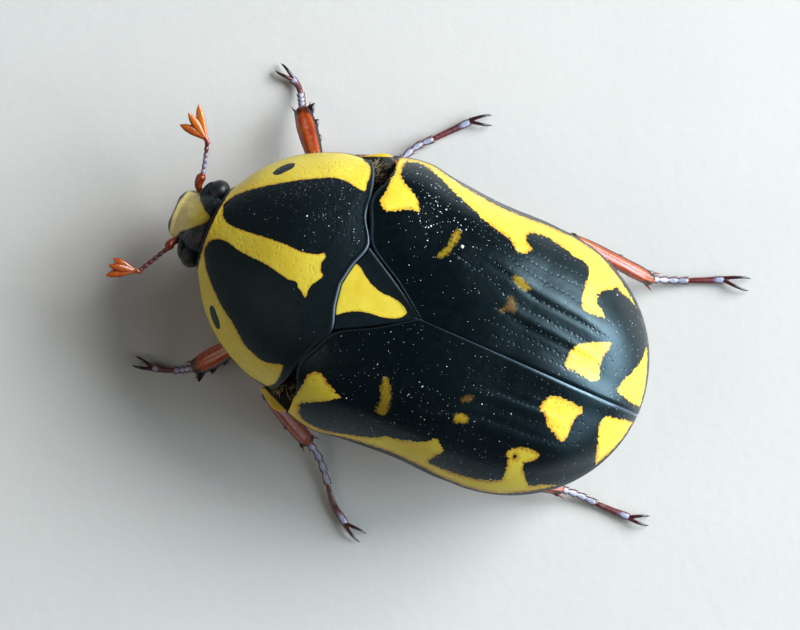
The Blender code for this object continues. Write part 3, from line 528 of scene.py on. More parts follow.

# %% [markdown]
# The cuticle of the back is black with lemon yellow patches. Its black is not flat: it has a faint blue green
# tinge and a satin gloss, and the bottom of each puncture and the rims are polished. Rims that face the light
# are also painted pale blue, a painted highlight of the mirrored sky. At the edge of a patch the yellow turns
# orange brown over a few hundredths of a millimetre and the line is jagged, because the colour follows the
# punctures. A few small marks are dull and blurred instead. The front of the wing cases is smoother than the
# rest, and the left flank is matt. One function builds this finish for the wing cases, the pronotum and the
# scutellum, which differ in how velvety the black is.

# %% Build the black and yellow finish
DEEP_BLACK = (0.0006, 0.0018, 0.0022, 1.0)
BLUE_BLACK = (0.0016, 0.005, 0.0065, 1.0)
RIM_PAINTED_HIGHLIGHT = (0.1, 0.13, 0.18, 1.0)
SKY_TINT = (0.55, 0.85, 1.0, 1.0)
WARM_YELLOW = (0.8, 0.58, 0.035, 1.0)
LEMON = (0.86, 0.7, 0.07, 1.0)
EDGE_BROWN = (0.5, 0.17, 0.005, 1.0)
DULL_YELLOW = (0.36, 0.23, 0.012, 1.0)
SPOT_BROWN = (0.2, 0.095, 0.014, 1.0)
VELVET_BLUE = (0.5, 0.72, 1.0, 1.0)


def shell_finish(name, black_gloss, yellow_gloss, jag, warm_edge, **constants):
    """Black and yellow cuticle between two glosses, painted pale on lit rims. The mesh carries seven fields.
    """
    material, shader, place = new_finish(name, **constants)
    names = ("yellow", "dull", "brown", "pit", "rim", "ragged", "matt")
    yellow, dull, brown, pit, rim, inner, matt = (field(place, key) for key in names)
    grain_noise = minus(noise(place, 7.0, 3.0), 0.5)
    ragged = times(grain_noise, inner)
    depth = plus(yellow, times(ragged, jag))
    depth = plus(depth, times(pit, -0.4 * jag))
    is_yellow = ramp(depth, -0.008, 0.014)
    near_edge = times(ramp(depth, 0.0, warm_edge, 0.95, 0.0), inner)
    near_edge = times(near_edge, ramp(noise(place, 1.1), 0.35, 0.62, 0.3, 1.0))

    lemon = mix_colours(ramp(noise(place, 0.7, 3.0), 0.3, 0.7), WARM_YELLOW, LEMON)
    lemon = mix_colours(near_edge, lemon, EDGE_BROWN)
    lemon = mix_colours(times(pit, 0.5), lemon, EDGE_BROWN)
    black = mix_colours(ramp(noise(place, 3.0, 4.0), 0.35, 0.75), DEEP_BLACK, BLUE_BLACK)
    # Painted highlight: the rim field turns the black towards a pale blue that stands for the sky mirrored in
    # lit rims.
    black = mix_colours(times(rim, 0.7), black, RIM_PAINTED_HIGHLIGHT)
    blurred = ramp(plus(dull, times(grain_noise, 0.4)), -0.06, 0.1)
    faded = times(blurred, ramp(brown, 0.0, 1.0, 0.9, 0.6))
    black = mix_colours(faded, black, mix_colours(brown, DULL_YELLOW, SPOT_BROWN))
    colour = mix_colours(is_yellow, black, lemon)

    gloss = ramp(is_yellow, 0.0, 1.0, black_gloss, yellow_gloss)
    gloss = plus(gloss, ramp(noise(place, 1.6, 3.0), 0.0, 1.0, -0.05, 0.05))
    gloss = times(gloss, ramp(pit, 0.1, 0.8, 1.0, 0.6))
    gloss = times(gloss, ramp(rim, 0.1, 0.8, 1.0, 0.4))
    gloss = plus(gloss, times(matt, 0.3))
    grain = bump(noise(place, 28.0), 0.004)
    dress(shader, colour, gloss, bump(noise(place, 9.0), 0.005, grain))
    return material


def shell_fields(like, **given):
    """The seven fields of the shell finish on a grid: the given ones, and no dull, brown or matt place."""
    fields = {"dull": FAR_OUTSIDE, "brown": 0.0, "matt": 0.0} | given
    return {key: values + np.zeros(like.shape) for key, values in fields.items()}


elytra_finish = shell_finish("elytra_cuticle", black_gloss=0.35, yellow_gloss=0.42, jag=0.3, warm_edge=0.2,
                             ior=1.55, specular_tint=SKY_TINT)
pronotum_finish = shell_finish("pronotum_velvet", black_gloss=0.5, yellow_gloss=0.45, jag=0.12, warm_edge=0.1,
                               ior=1.45, specular_tint=SKY_TINT, sheen_weight=0.05, sheen_roughness=0.4,
                               sheen_tint=VELVET_BLUE)
print("finishes:", elytra_finish.name, pronotum_finish.name)

# %% [markdown]
# The wing cases, or elytra, are two curved shells that meet in a hairline. Their plan is straight along the
# sides and an ellipse behind, and their section is a rounded arch. Each has a knob at the shoulder and near
# the tip, two long low veins with a hollow beside each, and a fine raised rim all round. The curves are those
# of the solids, and only the gap between the two is narrowed to the hairline of the real beetle. A place on
# an elytron is told by its distance along the body and its angle from the ridge, as on an hour dial.

# %% Shape the elytra
REAR_START = 4.6
REAR_LENGTH = 6.95
REAR_HALF_WIDTH = 6.72
REAR_RISE = 5.15
REAR_POWER = 2.2
ELYTRA_ROUND = (2.5, 1.95)
HAIRLINE = 0.035
elytra_width = smooth((
    (-5.2, 6.0), (-4.2, 6.72), (-2.7, 7.06), (-1.2, 6.88), (1.5, 6.7), (3.6, 6.76), (4.6, 6.72),
))
elytra_ridge = smooth(((-5.2, 9.2), (-3.0, 9.5), (0.0, 9.75), (3.0, 9.74), (4.6, 9.65)))
elytra_edge = smooth(((-5.2, 5.3), (-3.0, 5.0), (0.0, 4.7), (4.6, 4.5), (8.0, 4.6), (11.55, 5.0)))
elytra_front = smooth((
    (0.0, -0.1), (1.2, -1.8), (2.2, -3.5), (3.3, -4.12), (4.1, -4.48), (4.7, -4.45), (5.3, -4.2),
    (6.0, -4.08), (6.8, -4.08),
))


def rear_share(y, inset):
    """How far y lies along the rear ellipse, from 0 at its start to 1 at its tip."""
    return np.clip((y - REAR_START) / (REAR_LENGTH - inset), 0.0, 1.0)


def elytra_half_width(y, inset=0.0):
    """Half-width of both elytra together, or of a form set inside them."""
    rear = (REAR_HALF_WIDTH - inset) * np.sqrt(1 - rear_share(y, inset) ** 2)
    return np.where(y < REAR_START, elytra_width(y) - inset, rear)


def elytra_height(y, inset=0.0):
    """Height of the line where the elytra meet, or of a form set inside them."""
    rear = elytra_edge(y) + (REAR_RISE - inset) * np.sqrt(1 - rear_share(y, inset) ** REAR_POWER)
    return np.where(y < REAR_START, elytra_ridge(y) - inset, rear)


def mound(x, y, middle_x, middle_y, height, radius):
    """A rounded knob."""
    return height * np.exp(-((x - middle_x) ** 2 + (y - middle_y) ** 2) / radius**2)


# between which y a line fades in, its height, its width in degrees, and its angle from the ridge on the way
VEINS = (
    (2.0, 5.5, 0.045, 2.2, ((0.5, 20.0), (2.0, 17.0), (3.0, 14.8), (4.5, 12.4), (6.0, 11.8), (8.5, 11.8))),
    (0.0, 4.5, 0.12, 6.0, ((1.0, 34.0), (2.3, 30.0), (3.0, 27.5), (4.5, 25.0), (6.0, 24.6), (8.5, 25.0))),
    (2.5, 5.5, -0.03, 1.5, ((0.5, 17.5), (2.0, 14.2), (3.0, 12.0), (4.5, 9.9), (6.0, 9.6), (8.5, 9.6))),
    (0.5, 4.0, -0.038, 1.7, ((0.5, 30.5), (2.0, 27.0), (3.0, 24.9), (4.5, 21.6), (6.0, 21.2), (8.5, 22.5))),
)


def elytron_relief(x, y, angle, from_suture, from_front):
    """Height of knobs, veins and rims above the plain elytron."""
    veins = 0.0
    for start, full, height, width, points in VEINS:
        veins = veins + height * bell(angle - smooth(points)(y), width) * step_between(y, start, full)
    veins = veins * (1 - step_between(y, 6.8, 8.8))
    suture = 0.14 * bell(angle, 4.0) * step_between(y, 1.0, 8.0)
    edge = 0.055 * (1 - bell(from_suture, 0.1)) * np.exp(-from_suture / 0.5)
    front_bead = 0.02 * bell(from_front - 0.07, 0.07)
    knobs = mound(x, y, 5.4, -2.6, 0.02, 1.0) + mound(x, y, 3.1, 8.6, 0.16, 1.2)
    knobs = knobs + mound(x, y, 4.6, 2.5, 0.24, 3.0) * (1 - step_between(angle, 45.0, 85.0))
    return knobs + veins + suture + edge * (0.1 + 0.9 * step_between(y, 2.0, 8.0)) + front_bead


ELYTRON_ROWS = 380
ELYTRON_COLUMNS = 230


def elytron_grid():
    """Points of the left elytron's outer face, with the angle and distances of each."""
    angle = even_angles(ELYTRA_ROUND, 6.7, 5.05, ELYTRON_COLUMNS)
    share = across(angle, ELYTRA_ROUND[0])
    front = np.zeros_like(angle)
    for _ in range(SETTLING_ROUNDS):
        front = elytra_front(HAIRLINE + (elytra_half_width(front) - HAIRLINE) * share)
    straight = REAR_START - front
    total = straight + REAR_LENGTH * math.pi / 2
    run = np.linspace(0.0, 1.0, ELYTRON_ROWS)[:, None] * total
    swing = np.clip((run - straight) / REAR_LENGTH, 0.0, math.pi / 2)
    y = np.where(run < straight, front + run, REAR_START + REAR_LENGTH * np.sin(swing))
    x = HAIRLINE + np.maximum(elytra_half_width(y) - HAIRLINE, 0.0) * share
    z = elytra_edge(y) + (elytra_height(y) - elytra_edge(y)) * up(angle, ELYTRA_ROUND[1])
    plain = np.stack([x, y, z], axis=-1)
    from_suture = reach_along(plain)
    to_margin = from_suture[:, -1:] - from_suture
    from_front = y - front
    lift = elytron_relief(x, y, angle, from_suture, from_front) + 0.05 * bell(to_margin, 0.18)
    tilt = np.radians(angle)
    relief = np.stack([lift * np.sin(tilt), np.zeros_like(lift), lift * np.cos(tilt)], axis=-1)
    return plain + relief, angle, from_suture, to_margin, from_front


elytron_points, elytron_angle, from_suture, to_margin, from_front = elytron_grid()
elytron_normal = grid_normals(elytron_points, elytron_points - np.array([0.0, 2.0, 0.0]))
print("elytron grid:", elytron_points.shape[:2])

# %% [markdown]
# The surface of a real elytron is pricked with long rows of punctures, about a tenth of a millimetre wide,
# and with scattered ones at the shoulder and on the sides. The rows run with the veins, not straight. The
# punctures are pressed into the grid, each within a small window round its middle, and the same pass keeps a
# field that tells the finish where they are.

# %% Press the punctures into the elytra
# from y, to y, and the angle from the ridge on the way
PIT_ROWS = (
    (3.2, 8.3, ((3.0, 3.1), (8.5, 3.0))),
    (2.6, 8.8, ((2.5, 6.5), (8.8, 6.3))),
    (2.8, 9.0, ((2.5, 12.0), (4.8, 10.5), (9.0, 10.6))),
    (0.3, 9.2, ((0.3, 24.8), (2.0, 21.6), (3.9, 16.4), (9.2, 16.0))),
    (0.9, 9.4, ((0.9, 32.6), (2.4, 28.0), (3.9, 22.4), (5.2, 21.3), (9.4, 24.0))),
    (0.2, 8.6, ((0.2, 41.5), (2.3, 35.7), (3.3, 31.8), (5.1, 30.0), (8.6, 31.5))),
    (0.0, 7.2, ((0.0, 47.0), (2.5, 39.5), (4.2, 36.1), (7.2, 39.0))),
    (1.5, 6.8, ((1.5, 45.5), (4.7, 42.3), (6.8, 46.0))),
    (-1.0, 6.4, ((-1.0, 56.0), (3.0, 50.0), (6.4, 53.0))),
    (-0.5, 6.0, ((-0.5, 63.0), (3.0, 58.0), (6.0, 60.0))),
)
PIT_SPACING = 0.27
PIT_DEPTH = 0.024
PIT_RADIUS = 0.042
SCATTERED_PITS = 1300
WINDOW = 5


def press_pits(points, normal, rows, columns, depths, radii):
    """Presses round pits into a grid at given rows and columns. Returns the points and the pit field."""
    points = points.copy()
    pit_field = np.zeros(points.shape[:2])
    flat_points = points.copy()
    for row, column, depth, radius in zip(rows, columns, depths, radii):
        window = tuple(slice(max(middle - WINDOW, 0), middle + WINDOW + 1) for middle in (row, column))
        distance = np.linalg.norm(flat_points[window] - flat_points[row, column], axis=-1)
        shape = np.exp(-((distance / radius) ** 2.6))
        points[window] -= normal[window] * (shape * depth)[..., None]
        pit_field[window] = np.maximum(pit_field[window], shape)
    return points, pit_field


def elytron_pits(seed):
    """Rows and columns of the grid where the punctures of one elytron lie."""
    random = np.random.default_rng(seed)
    found = []
    for start, end, points in PIT_ROWS:
        line = smooth(points)
        y = start + random.uniform(0, PIT_SPACING)
        while y < end:
            column = int(np.argmin(np.abs(elytron_angle - line(y) - random.normal(0, 0.2))))
            found.append((int(np.argmin(np.abs(elytron_points[:, column, 1] - y))), column, 1.0))
            y += PIT_SPACING * random.uniform(0.75, 1.25)
    for _ in range(SCATTERED_PITS):
        row, column = random.integers(8, ELYTRON_ROWS - 40), random.integers(6, ELYTRON_COLUMNS - 12)
        x, y, _ = elytron_points[row, column]
        shoulder = x > 2.6 and y < 0.5
        side = elytron_angle[column] > 62
        behind = y > 9.0
        if random.uniform() < (0.4 if shoulder or side or behind else 0.16):
            found.append((int(row), int(column), random.uniform(0.4, 0.8)))
    rows, columns, weights = zip(*found)
    size = random.uniform(0.8, 1.15, len(found)) * np.array(weights)
    return rows, columns, PIT_DEPTH * size, PIT_RADIUS * np.sqrt(size)


def elytron_skin(seed):
    """Points of one elytron with its gentle dents and its pits, and its pit field."""
    dents = 0.01 * soft_noise(elytron_points, 1.6, seed + 1)
    dents = dents + 0.003 * soft_noise(elytron_points, 0.35, seed + 2)
    skin = elytron_points + elytron_normal * dents[..., None]
    pits = elytron_pits(seed + 3)
    return *press_pits(skin, elytron_normal, *pits), pits[:2]


print("punctures on one elytron:", len(elytron_pits(4)[0]))

# %% [markdown]
# The yellow marks of the two elytra are alike but not the same. Each side has a wedge at the shoulder, a long
# stripe along the margin with two hooks, a short dash, two small spots, of which the inner one is brownish,
# a large spot behind and one at the tip. The outlines of the stripe run beyond the margin, and a thin black
# rim is left along it.

# %% Draw the marks of the elytra
RIGHT_WEDGE = (
    (-5.39, -4.06), (-4.92, -4.05), (-4.41, -4.08), (-4.15, -3.94), (-4.02, -3.58), (-4.31, -3.08),
    (-4.56, -2.65), (-4.65, -2.2), (-4.88, -2.28), (-5.27, -2.62), (-5.51, -3.07), (-5.79, -3.56),
    (-6.05, -3.73), (-6.53, -3.74), (-7.3, -3.6), (-7.4, -4.5), (-6.5, -4.4), (-6.04, -4.0),
)
RIGHT_STRIPE = (
    (-6.7, -3.62), (-6.87, -3.2), (-6.83, -2.7), (-6.68, -2.15), (-6.52, -1.7), (-6.23, -1.02),
    (-5.97, -0.26), (-5.65, 0.51), (-5.43, 1.24), (-5.26, 1.95), (-5.1, 2.44), (-4.75, 2.85),
    (-4.88, 3.27), (-5.19, 3.47), (-5.41, 3.12), (-5.8, 3.02), (-5.97, 3.39), (-6.03, 3.9), (-5.9, 4.7),
    (-5.72, 5.52), (-5.65, 6.09), (-5.27, 6.45), (-4.64, 6.47), (-3.94, 6.57), (-3.52, 6.82),
    (-3.49, 7.37), (-3.55, 7.91), (-3.9, 7.69), (-4.06, 7.33), (-4.65, 7.34), (-4.95, 7.78),
    (-5.18, 7.99), (-5.05, 8.26), (-4.93, 8.84), (-4.62, 9.75), (-5.4, 9.9), (-7.6, 8.5), (-8.6, 4.0),
    (-8.6, -1.5), (-8.0, -3.9), (-7.1, -3.75),
)
RIGHT_DASH = (
    (-4.63, -0.19), (-4.56, 0.02), (-4.09, 0.04), (-3.66, -0.09), (-3.31, -0.15), (-3.02, -0.4),
    (-3.09, -0.53), (-3.37, -0.44), (-3.67, -0.31), (-4.11, -0.28),
)
RIGHT_SPOT = ((-3.62, 3.14), (-3.72, 3.43), (-3.59, 3.86), (-3.41, 4.15), (-3.2, 3.81), (-3.34, 3.4))
RIGHT_BROWN_SPOT = (
    (-2.68, 3.34), (-2.65, 3.62), (-2.34, 3.89), (-2.01, 3.85), (-2.02, 3.52), (-1.75, 3.27),
    (-1.91, 3.15), (-2.2, 3.34),
)
RIGHT_REAR = (
    (-1.76, 7.14), (-2.12, 7.52), (-2.35, 8.07), (-2.63, 8.67), (-2.23, 8.73), (-1.87, 8.61),
    (-1.45, 8.63), (-1.01, 8.83), (-0.7, 8.86), (-0.57, 8.31), (-0.61, 7.65), (-0.68, 7.08),
    (-1.07, 7.02), (-1.4, 7.03),
)
RIGHT_TIP = (
    (-3.25, 10.56), (-2.54, 10.49), (-1.84, 10.31), (-1.17, 9.98), (-0.68, 9.87), (-0.5, 10.29),
    (-0.36, 11.02), (-0.5, 11.9), (-2.0, 11.9), (-3.2, 11.1),
)
LEFT_WEDGE = (
    (4.5, -3.86), (4.26, -3.44), (4.58, -2.87), (4.79, -2.48), (4.95, -2.07), (5.36, -2.54),
    (5.83, -3.27), (6.09, -3.7), (6.51, -3.77), (7.3, -3.6), (7.4, -4.5), (6.5, -4.45), (5.72, -4.05),
    (4.98, -3.96),
)
LEFT_STRIPE = (
    (6.15, -3.75), (6.5, -3.6), (6.76, -3.25), (6.86, -2.74), (6.82, -2.02), (6.55, -0.98), (6.21, 0.06),
    (5.83, 0.73), (5.65, 1.57), (5.21, 2.6), (4.93, 2.9), (5.12, 3.25), (5.34, 3.46), (5.77, 3.24),
    (6.16, 3.04), (6.19, 3.98), (6.1, 4.86), (5.89, 5.85), (5.51, 6.59), (5.04, 6.6), (4.54, 6.46),
    (4.17, 6.23), (3.79, 6.54), (3.56, 7.13), (3.68, 7.76), (4.04, 7.59), (4.35, 7.25), (4.88, 7.53),
    (5.26, 8.02), (4.95, 8.6), (4.75, 9.6), (5.6, 9.6), (7.6, 8.0), (8.6, 4.0), (8.6, -1.5), (8.2, -3.6),
    (7.5, -4.5), (6.3, -4.4),
)
LEFT_DASH = (
    (3.17, -0.51), (3.38, -0.19), (3.93, 0.12), (4.51, 0.23), (4.91, 0.2), (4.94, -0.2), (4.76, -0.32),
    (4.34, -0.26), (3.74, -0.49),
)
LEFT_BROWN_SPOT = ((2.72, 3.2), (2.42, 3.42), (2.38, 3.7), (2.62, 3.68), (2.8, 3.36))
LEFT_SPOT = ((3.63, 3.23), (3.35, 3.44), (3.39, 3.88), (3.65, 3.88), (3.85, 3.44))
LEFT_REAR = (
    (0.95, 6.94), (0.74, 7.46), (0.74, 8.08), (0.82, 8.77), (1.27, 8.63), (1.76, 8.55), (2.28, 8.6),
    (2.68, 8.51), (2.52, 8.04), (2.17, 7.41), (1.81, 7.17), (1.59, 6.8),
)
LEFT_TIP = (
    (0.69, 9.95), (0.58, 10.48), (0.47, 11.06), (0.6, 11.9), (2.0, 11.9), (3.3, 11.0), (3.02, 10.54),
    (2.46, 10.26), (1.77, 10.02), (1.03, 9.76),
)
BRIGHT_MARKS = {
    "right": (RIGHT_WEDGE, RIGHT_STRIPE, RIGHT_REAR, RIGHT_TIP),
    "left": (LEFT_WEDGE, LEFT_STRIPE, LEFT_REAR, LEFT_TIP),
}
DULL_MARKS = {"right": (RIGHT_DASH, RIGHT_SPOT), "left": (LEFT_DASH, LEFT_SPOT)}
BROWN_MARKS = {"right": RIGHT_BROWN_SPOT, "left": LEFT_BROWN_SPOT}
FLANK_MATTNESS = 0.8
FRONT_SMOOTHNESS = 0.45
BLACK_DOTS = {"right": (-4.45, 7.24, 0.06), "left": (4.2, 6.71, 0.09)}
black_rim = smooth((
    (-4.0, 0.0), (-2.5, 0.0), (-1.5, 0.05), (-0.3, 0.15), (2.5, 0.19), (5.0, 0.09), (11.0, 0.06),
))


def make_elytron(side_name, seed):
    """One wing case with its pits, marks and finish."""
    side = SIDES[side_name]
    points, pit, pit_places = elytron_skin(seed)
    mirror = np.array([side, 1.0, 1.0])
    points, normal = points * mirror, elytron_normal * mirror
    x, y = points[..., 0], points[..., 1]
    narrowing = (elytra_half_width(y - 0.02) - elytra_half_width(y + 0.02)) / 0.04
    rim_width = np.maximum(black_rim(y), 0.2 * step_between(y, 5.5, 8.5))
    inside_rim = (elytra_half_width(y) - np.abs(x)) / np.hypot(1.0, narrowing) - rim_width
    dot_x, dot_y, dot_radius = BLACK_DOTS[side_name]
    outside_dot = np.hypot(x - dot_x, y - dot_y) - dot_radius
    yellow = np.minimum(np.minimum(deepest(BRIGHT_MARKS[side_name], x, y), inside_rim), outside_dot)
    brown_spot = depth_inside(BROWN_MARKS[side_name], x, y)
    dull = np.maximum(deepest(DULL_MARKS[side_name], x, y), brown_spot)
    seam_width = 0.035 + 0.065 * step_between(y, 3.0, 8.0)
    # Painted highlight: on the left wing case only, whose hairline edge faces the light, the rim field paints
    # a thin pale blue line along the seam that widens towards the tip.
    seam = bell(from_suture, seam_width) * (0.2 + 0.8 * step_between(y, -0.2, 6.0)) * (side > 0)
    front = 1 - step_between(y, -0.5, 4.5)
    beads = (from_suture < 0.15) * (y < -0.2) + (from_front < 0.12)
    flank = step_between(elytron_angle, 40.0, 52.0) * (side > 0)
    matt = beads + FLANK_MATTNESS * flank - FRONT_SMOOTHNESS * front * (1 - flank)
    fields = shell_fields(x, yellow=yellow, dull=dull, brown=step_between(brown_spot, -0.3, -0.1), pit=pit,
                          rim=seam * (y > -0.2), matt=np.clip(matt, -FRONT_SMOOTHNESS, 1.0),
                          ragged=step_between(to_margin, 0.3, 0.7))
    shape = turned_under(points, normal, fields)
    make_piece(f"wing_case_{side_name}", shape, elytra_finish, "black_cuticle", f"elytron_{side_name}")
    return points, normal, pit_places


left_elytron = make_elytron("left", 20)
right_elytron = make_elytron("right", 40)

# %% [markdown]
# The pronotum is the shield behind the head, domed across and along. Its black is velvety and lies in two
# large patches, with a yellow stripe between them, a yellow border round them and a small black spot in the
# border on each side. A fine raised rim runs round it. Its hind rim, all but the far left, is painted pale
# blue, a painted highlight of the sky, and the hind ends of the side rims faintly so. The hind edge is not
# quite the same on both sides. It is one grid from side to side.

# %% Shape and mark the pronotum
PRONOTUM_ROUND = (2.25, 1.95)
PRONOTUM_SIDE_COLUMNS = 135
PRONOTUM_ROWS = 230
PRONOTUM_PITS = 2600
pronotum_width = smooth((
    (-11.0, 2.1), (-10.76, 2.5), (-10.2, 3.43), (-9.7, 4.05), (-8.6, 4.95), (-6.85, 5.8), (-5.3, 6.1),
))
pronotum_ridge = smooth(((-11.2, 6.7), (-9.5, 7.75), (-7.5, 8.75), (-5.5, 9.3), (-3.6, 9.5)))
pronotum_edge = smooth(((-11.0, 4.85), (-9.5, 4.45), (-7.5, 4.55), (-5.3, 5.05), (-3.6, 5.2)))
pronotum_front = smooth(((0.0, -11.18), (1.2, -11.12), (2.1, -11.0)))
pronotum_rear = smooth((
    (0.0, -4.24), (1.0, -4.07), (2.2, -3.74), (3.3, -4.16), (4.4, -4.57), (5.3, -4.85), (5.8, -5.08),
    (6.15, -5.4),
))
pronotum_rim_width = smooth(((-10.0, 0.05), (-8.5, 0.06), (-6.6, 0.08), (-5.9, 0.16), (-5.2, 0.24)))
BLACK_SHIELD = (
    (-0.77, -10.79), (-1.2, -10.95), (-1.61, -10.79), (-2.15, -10.33), (-2.67, -9.67), (-3.19, -8.92),
    (-3.78, -8.0), (-4.17, -7.29), (-4.52, -6.57), (-4.59, -6.02), (-4.53, -5.6), (-4.48, -5.15),
    (-4.53, -4.93), (-4.89, -5.01), (-5.29, -5.02), (-5.64, -5.15), (-5.86, -5.38), (-5.95, -5.67),
    (-6.6, -5.9), (-7.0, -4.8), (-4.0, -3.2), (0.0, -3.2), (4.0, -3.2), (7.0, -4.8), (6.9, -6.2),
    (6.15, -6.09), (6.08, -5.62), (5.79, -5.29), (5.48, -5.16), (5.06, -5.13), (4.68, -5.19),
    (4.79, -5.59), (4.91, -6.13), (4.82, -6.56), (4.55, -7.27), (4.12, -7.84), (3.69, -8.42),
    (3.35, -8.97), (2.84, -9.59), (2.17, -10.29), (1.58, -10.72), (1.17, -10.9), (0.77, -10.87),
)
YELLOW_STRIPE = (
    (-1.3, -11.6), (-1.0, -11.05), (-0.74, -10.77), (-0.47, -10.35), (-0.47, -9.44), (-0.58, -8.5),
    (-0.65, -7.35), (-0.65, -6.57), (-0.83, -5.78), (-1.03, -5.49), (-0.84, -5.37), (-0.52, -5.44),
    (-0.19, -5.31), (0.01, -5.12), (0.32, -5.28), (0.65, -5.47), (0.94, -5.49), (1.32, -5.47),
    (1.14, -5.71), (0.98, -6.0), (0.79, -6.13), (0.81, -6.61), (0.75, -7.02), (0.6, -7.77), (0.56, -8.58),
    (0.53, -9.29), (0.39, -9.85), (0.38, -10.36), (0.5, -10.66), (0.74, -10.86), (1.0, -11.05),
    (1.3, -11.6),
)
RIGHT_SHIELD_SPOT = (
    (-3.55, -9.4), (-3.91, -9.27), (-4.27, -8.95), (-4.43, -8.64), (-4.24, -8.6), (-3.88, -8.85),
    (-3.58, -9.15),
)
LEFT_SHIELD_SPOT = (
    (3.53, -9.6), (3.5, -9.43), (3.74, -9.18), (4.09, -8.86), (4.38, -8.75), (4.41, -8.92), (4.16, -9.23),
    (3.8, -9.53),
)


def right_notch(x):
    """How much further forward the hind edge of the pronotum lies on the beetle's right."""
    return 0.22 * bell(x + 3.4, 0.75)


def pronotum_grid():
    """Points of the pronotum's outer face, with distances to its rims."""
    half = even_angles(PRONOTUM_ROUND, 5.6, 4.2, PRONOTUM_SIDE_COLUMNS)
    angle = np.concatenate([-half[:0:-1], half])
    share = np.abs(across(angle, PRONOTUM_ROUND[0]))
    front, rear = np.full_like(angle, PRONOTUM_TIP), np.full_like(angle, -4.24)
    for _ in range(SETTLING_ROUNDS):
        front = pronotum_front(pronotum_width(front) * share)
        reach = pronotum_width(rear) * share
        rear = pronotum_rear(reach) - right_notch(reach * np.sign(angle))
    y = front + (rear - front) * np.linspace(0.0, 1.0, PRONOTUM_ROWS)[:, None]
    x = pronotum_width(y) * share * np.sign(angle)
    z = pronotum_edge(y) + (pronotum_ridge(y) - pronotum_edge(y)) * up(angle, PRONOTUM_ROUND[1])
    points = np.stack([x, y, z], axis=-1)
    reach = reach_along(points)
    side_rim = np.minimum(reach, reach[:, -1:] - reach)
    return points, side_rim, y - front, rear - y


pronotum_points, side_rim, front_rim, rear_rim = pronotum_grid()
pronotum_normal = grid_normals(pronotum_points, pronotum_points - np.array([0.0, -7.0, 3.0]))


def pronotum_pits(seed):
    """Rows and columns of the fine punctures, denser towards the sides and the front."""
    random = np.random.default_rng(seed)
    rows = random.integers(6, PRONOTUM_ROWS - 6, PRONOTUM_PITS)
    columns = random.integers(6, 2 * PRONOTUM_SIDE_COLUMNS - 8, PRONOTUM_PITS)
    places = pronotum_points[rows, columns]
    outward = np.abs(places[:, 0]) / 6.0 + step_between(-places[:, 1], 8.0, 11.0)
    kept = random.uniform(0, 1, len(rows)) < 0.22 + 0.6 * outward
    rows, columns = rows[kept], columns[kept]
    size = random.uniform(0.7, 1.2, len(rows))
    return rows, columns, 0.014 * size, 0.045 * np.sqrt(size)


def make_pronotum():
    """The pronotum with its rims, punctures and marks."""
    behind = step_between(pronotum_points[..., 1], -10.4, -8.0)
    rims = 0.05 * bell(side_rim, 0.1) - 0.025 * bell(side_rim - 0.28, 0.12)
    rims = rims * behind + 0.05 * bell(rear_rim - 0.05, 0.08) + 0.03 * bell(front_rim, 0.1)
    dents = 0.012 * soft_noise(pronotum_points, 1.9, 7)
    skin = pronotum_points + pronotum_normal * (rims + dents)[..., None]
    skin, pit = press_pits(skin, pronotum_normal, *pronotum_pits(9))
    x, y = skin[..., 0], skin[..., 1]
    black = depth_inside(BLACK_SHIELD, x, y)
    yellow = np.maximum(-black, depth_inside(YELLOW_STRIPE, x, y))
    small_spots = deepest((RIGHT_SHIELD_SPOT, LEFT_SHIELD_SPOT), x, y)
    yellow = np.minimum(yellow, -small_spots)
    yellow = np.minimum(yellow, np.minimum(side_rim - pronotum_rim_width(y), front_rim - 0.09))
    yellow = np.minimum(yellow, rear_rim - 0.15)
    # Painted highlight: the rim field paints the hind rim pale blue up to the far left, and the side rims
    # faintly.
    rim = bell(rear_rim, 0.06) * (1 - step_between(x, 1.7, 2.3))
    rim = rim + 0.3 * behind * bell(side_rim, 0.1)
    ragged = step_between(side_rim, 0.3, 0.7) * step_between(-small_spots, 0.2, 0.4)
    fields = shell_fields(x, yellow=yellow, pit=0.4 * pit, rim=rim, ragged=ragged)
    shape = turned_under(skin, pronotum_normal, fields)
    make_piece("pronotum_shield", shape, pronotum_finish, "black_cuticle", "pronotum")
    return skin


pronotum_skin = make_pronotum()

# %% [markdown]
# The scutellum is the small triangle between the pronotum and the wing cases, a little below their level. It
# is velvet black with a yellow wedge, and its edges are turned down into the seam.

# %% Make the scutellum
SCUTELLUM_HALF_BASE = 2.08
SCUTELLUM_TIP = -0.2
SCUTELLUM_SINK = 0.08
SCUTELLUM_GRID = 110
SCUTELLUM_PITS = 60
YELLOW_WEDGE = (
    (-1.16, -3.93), (-0.77, -4.35), (-0.16, -4.5), (0.49, -4.45), (1.08, -4.2), (1.45, -3.87),
    (1.16, -3.47), (0.83, -2.84), (0.71, -2.23), (0.64, -1.68), (0.47, -1.18), (0.25, -0.9),
    (-0.02, -0.8), (-0.26, -1.12), (-0.4, -1.66), (-0.39, -2.23), (-0.56, -2.83), (-0.8, -3.27),
    (-1.07, -3.63),
)


def back_height(x, y):
    """Height of the elytra's plain back."""
    reach = np.minimum(np.abs(x) / elytra_width(y), 1.0)
    rise = (1 - reach ** ELYTRA_ROUND[0]) ** (1 / ELYTRA_ROUND[1])
    return elytra_edge(y) + (elytra_ridge(y) - elytra_edge(y)) * rise


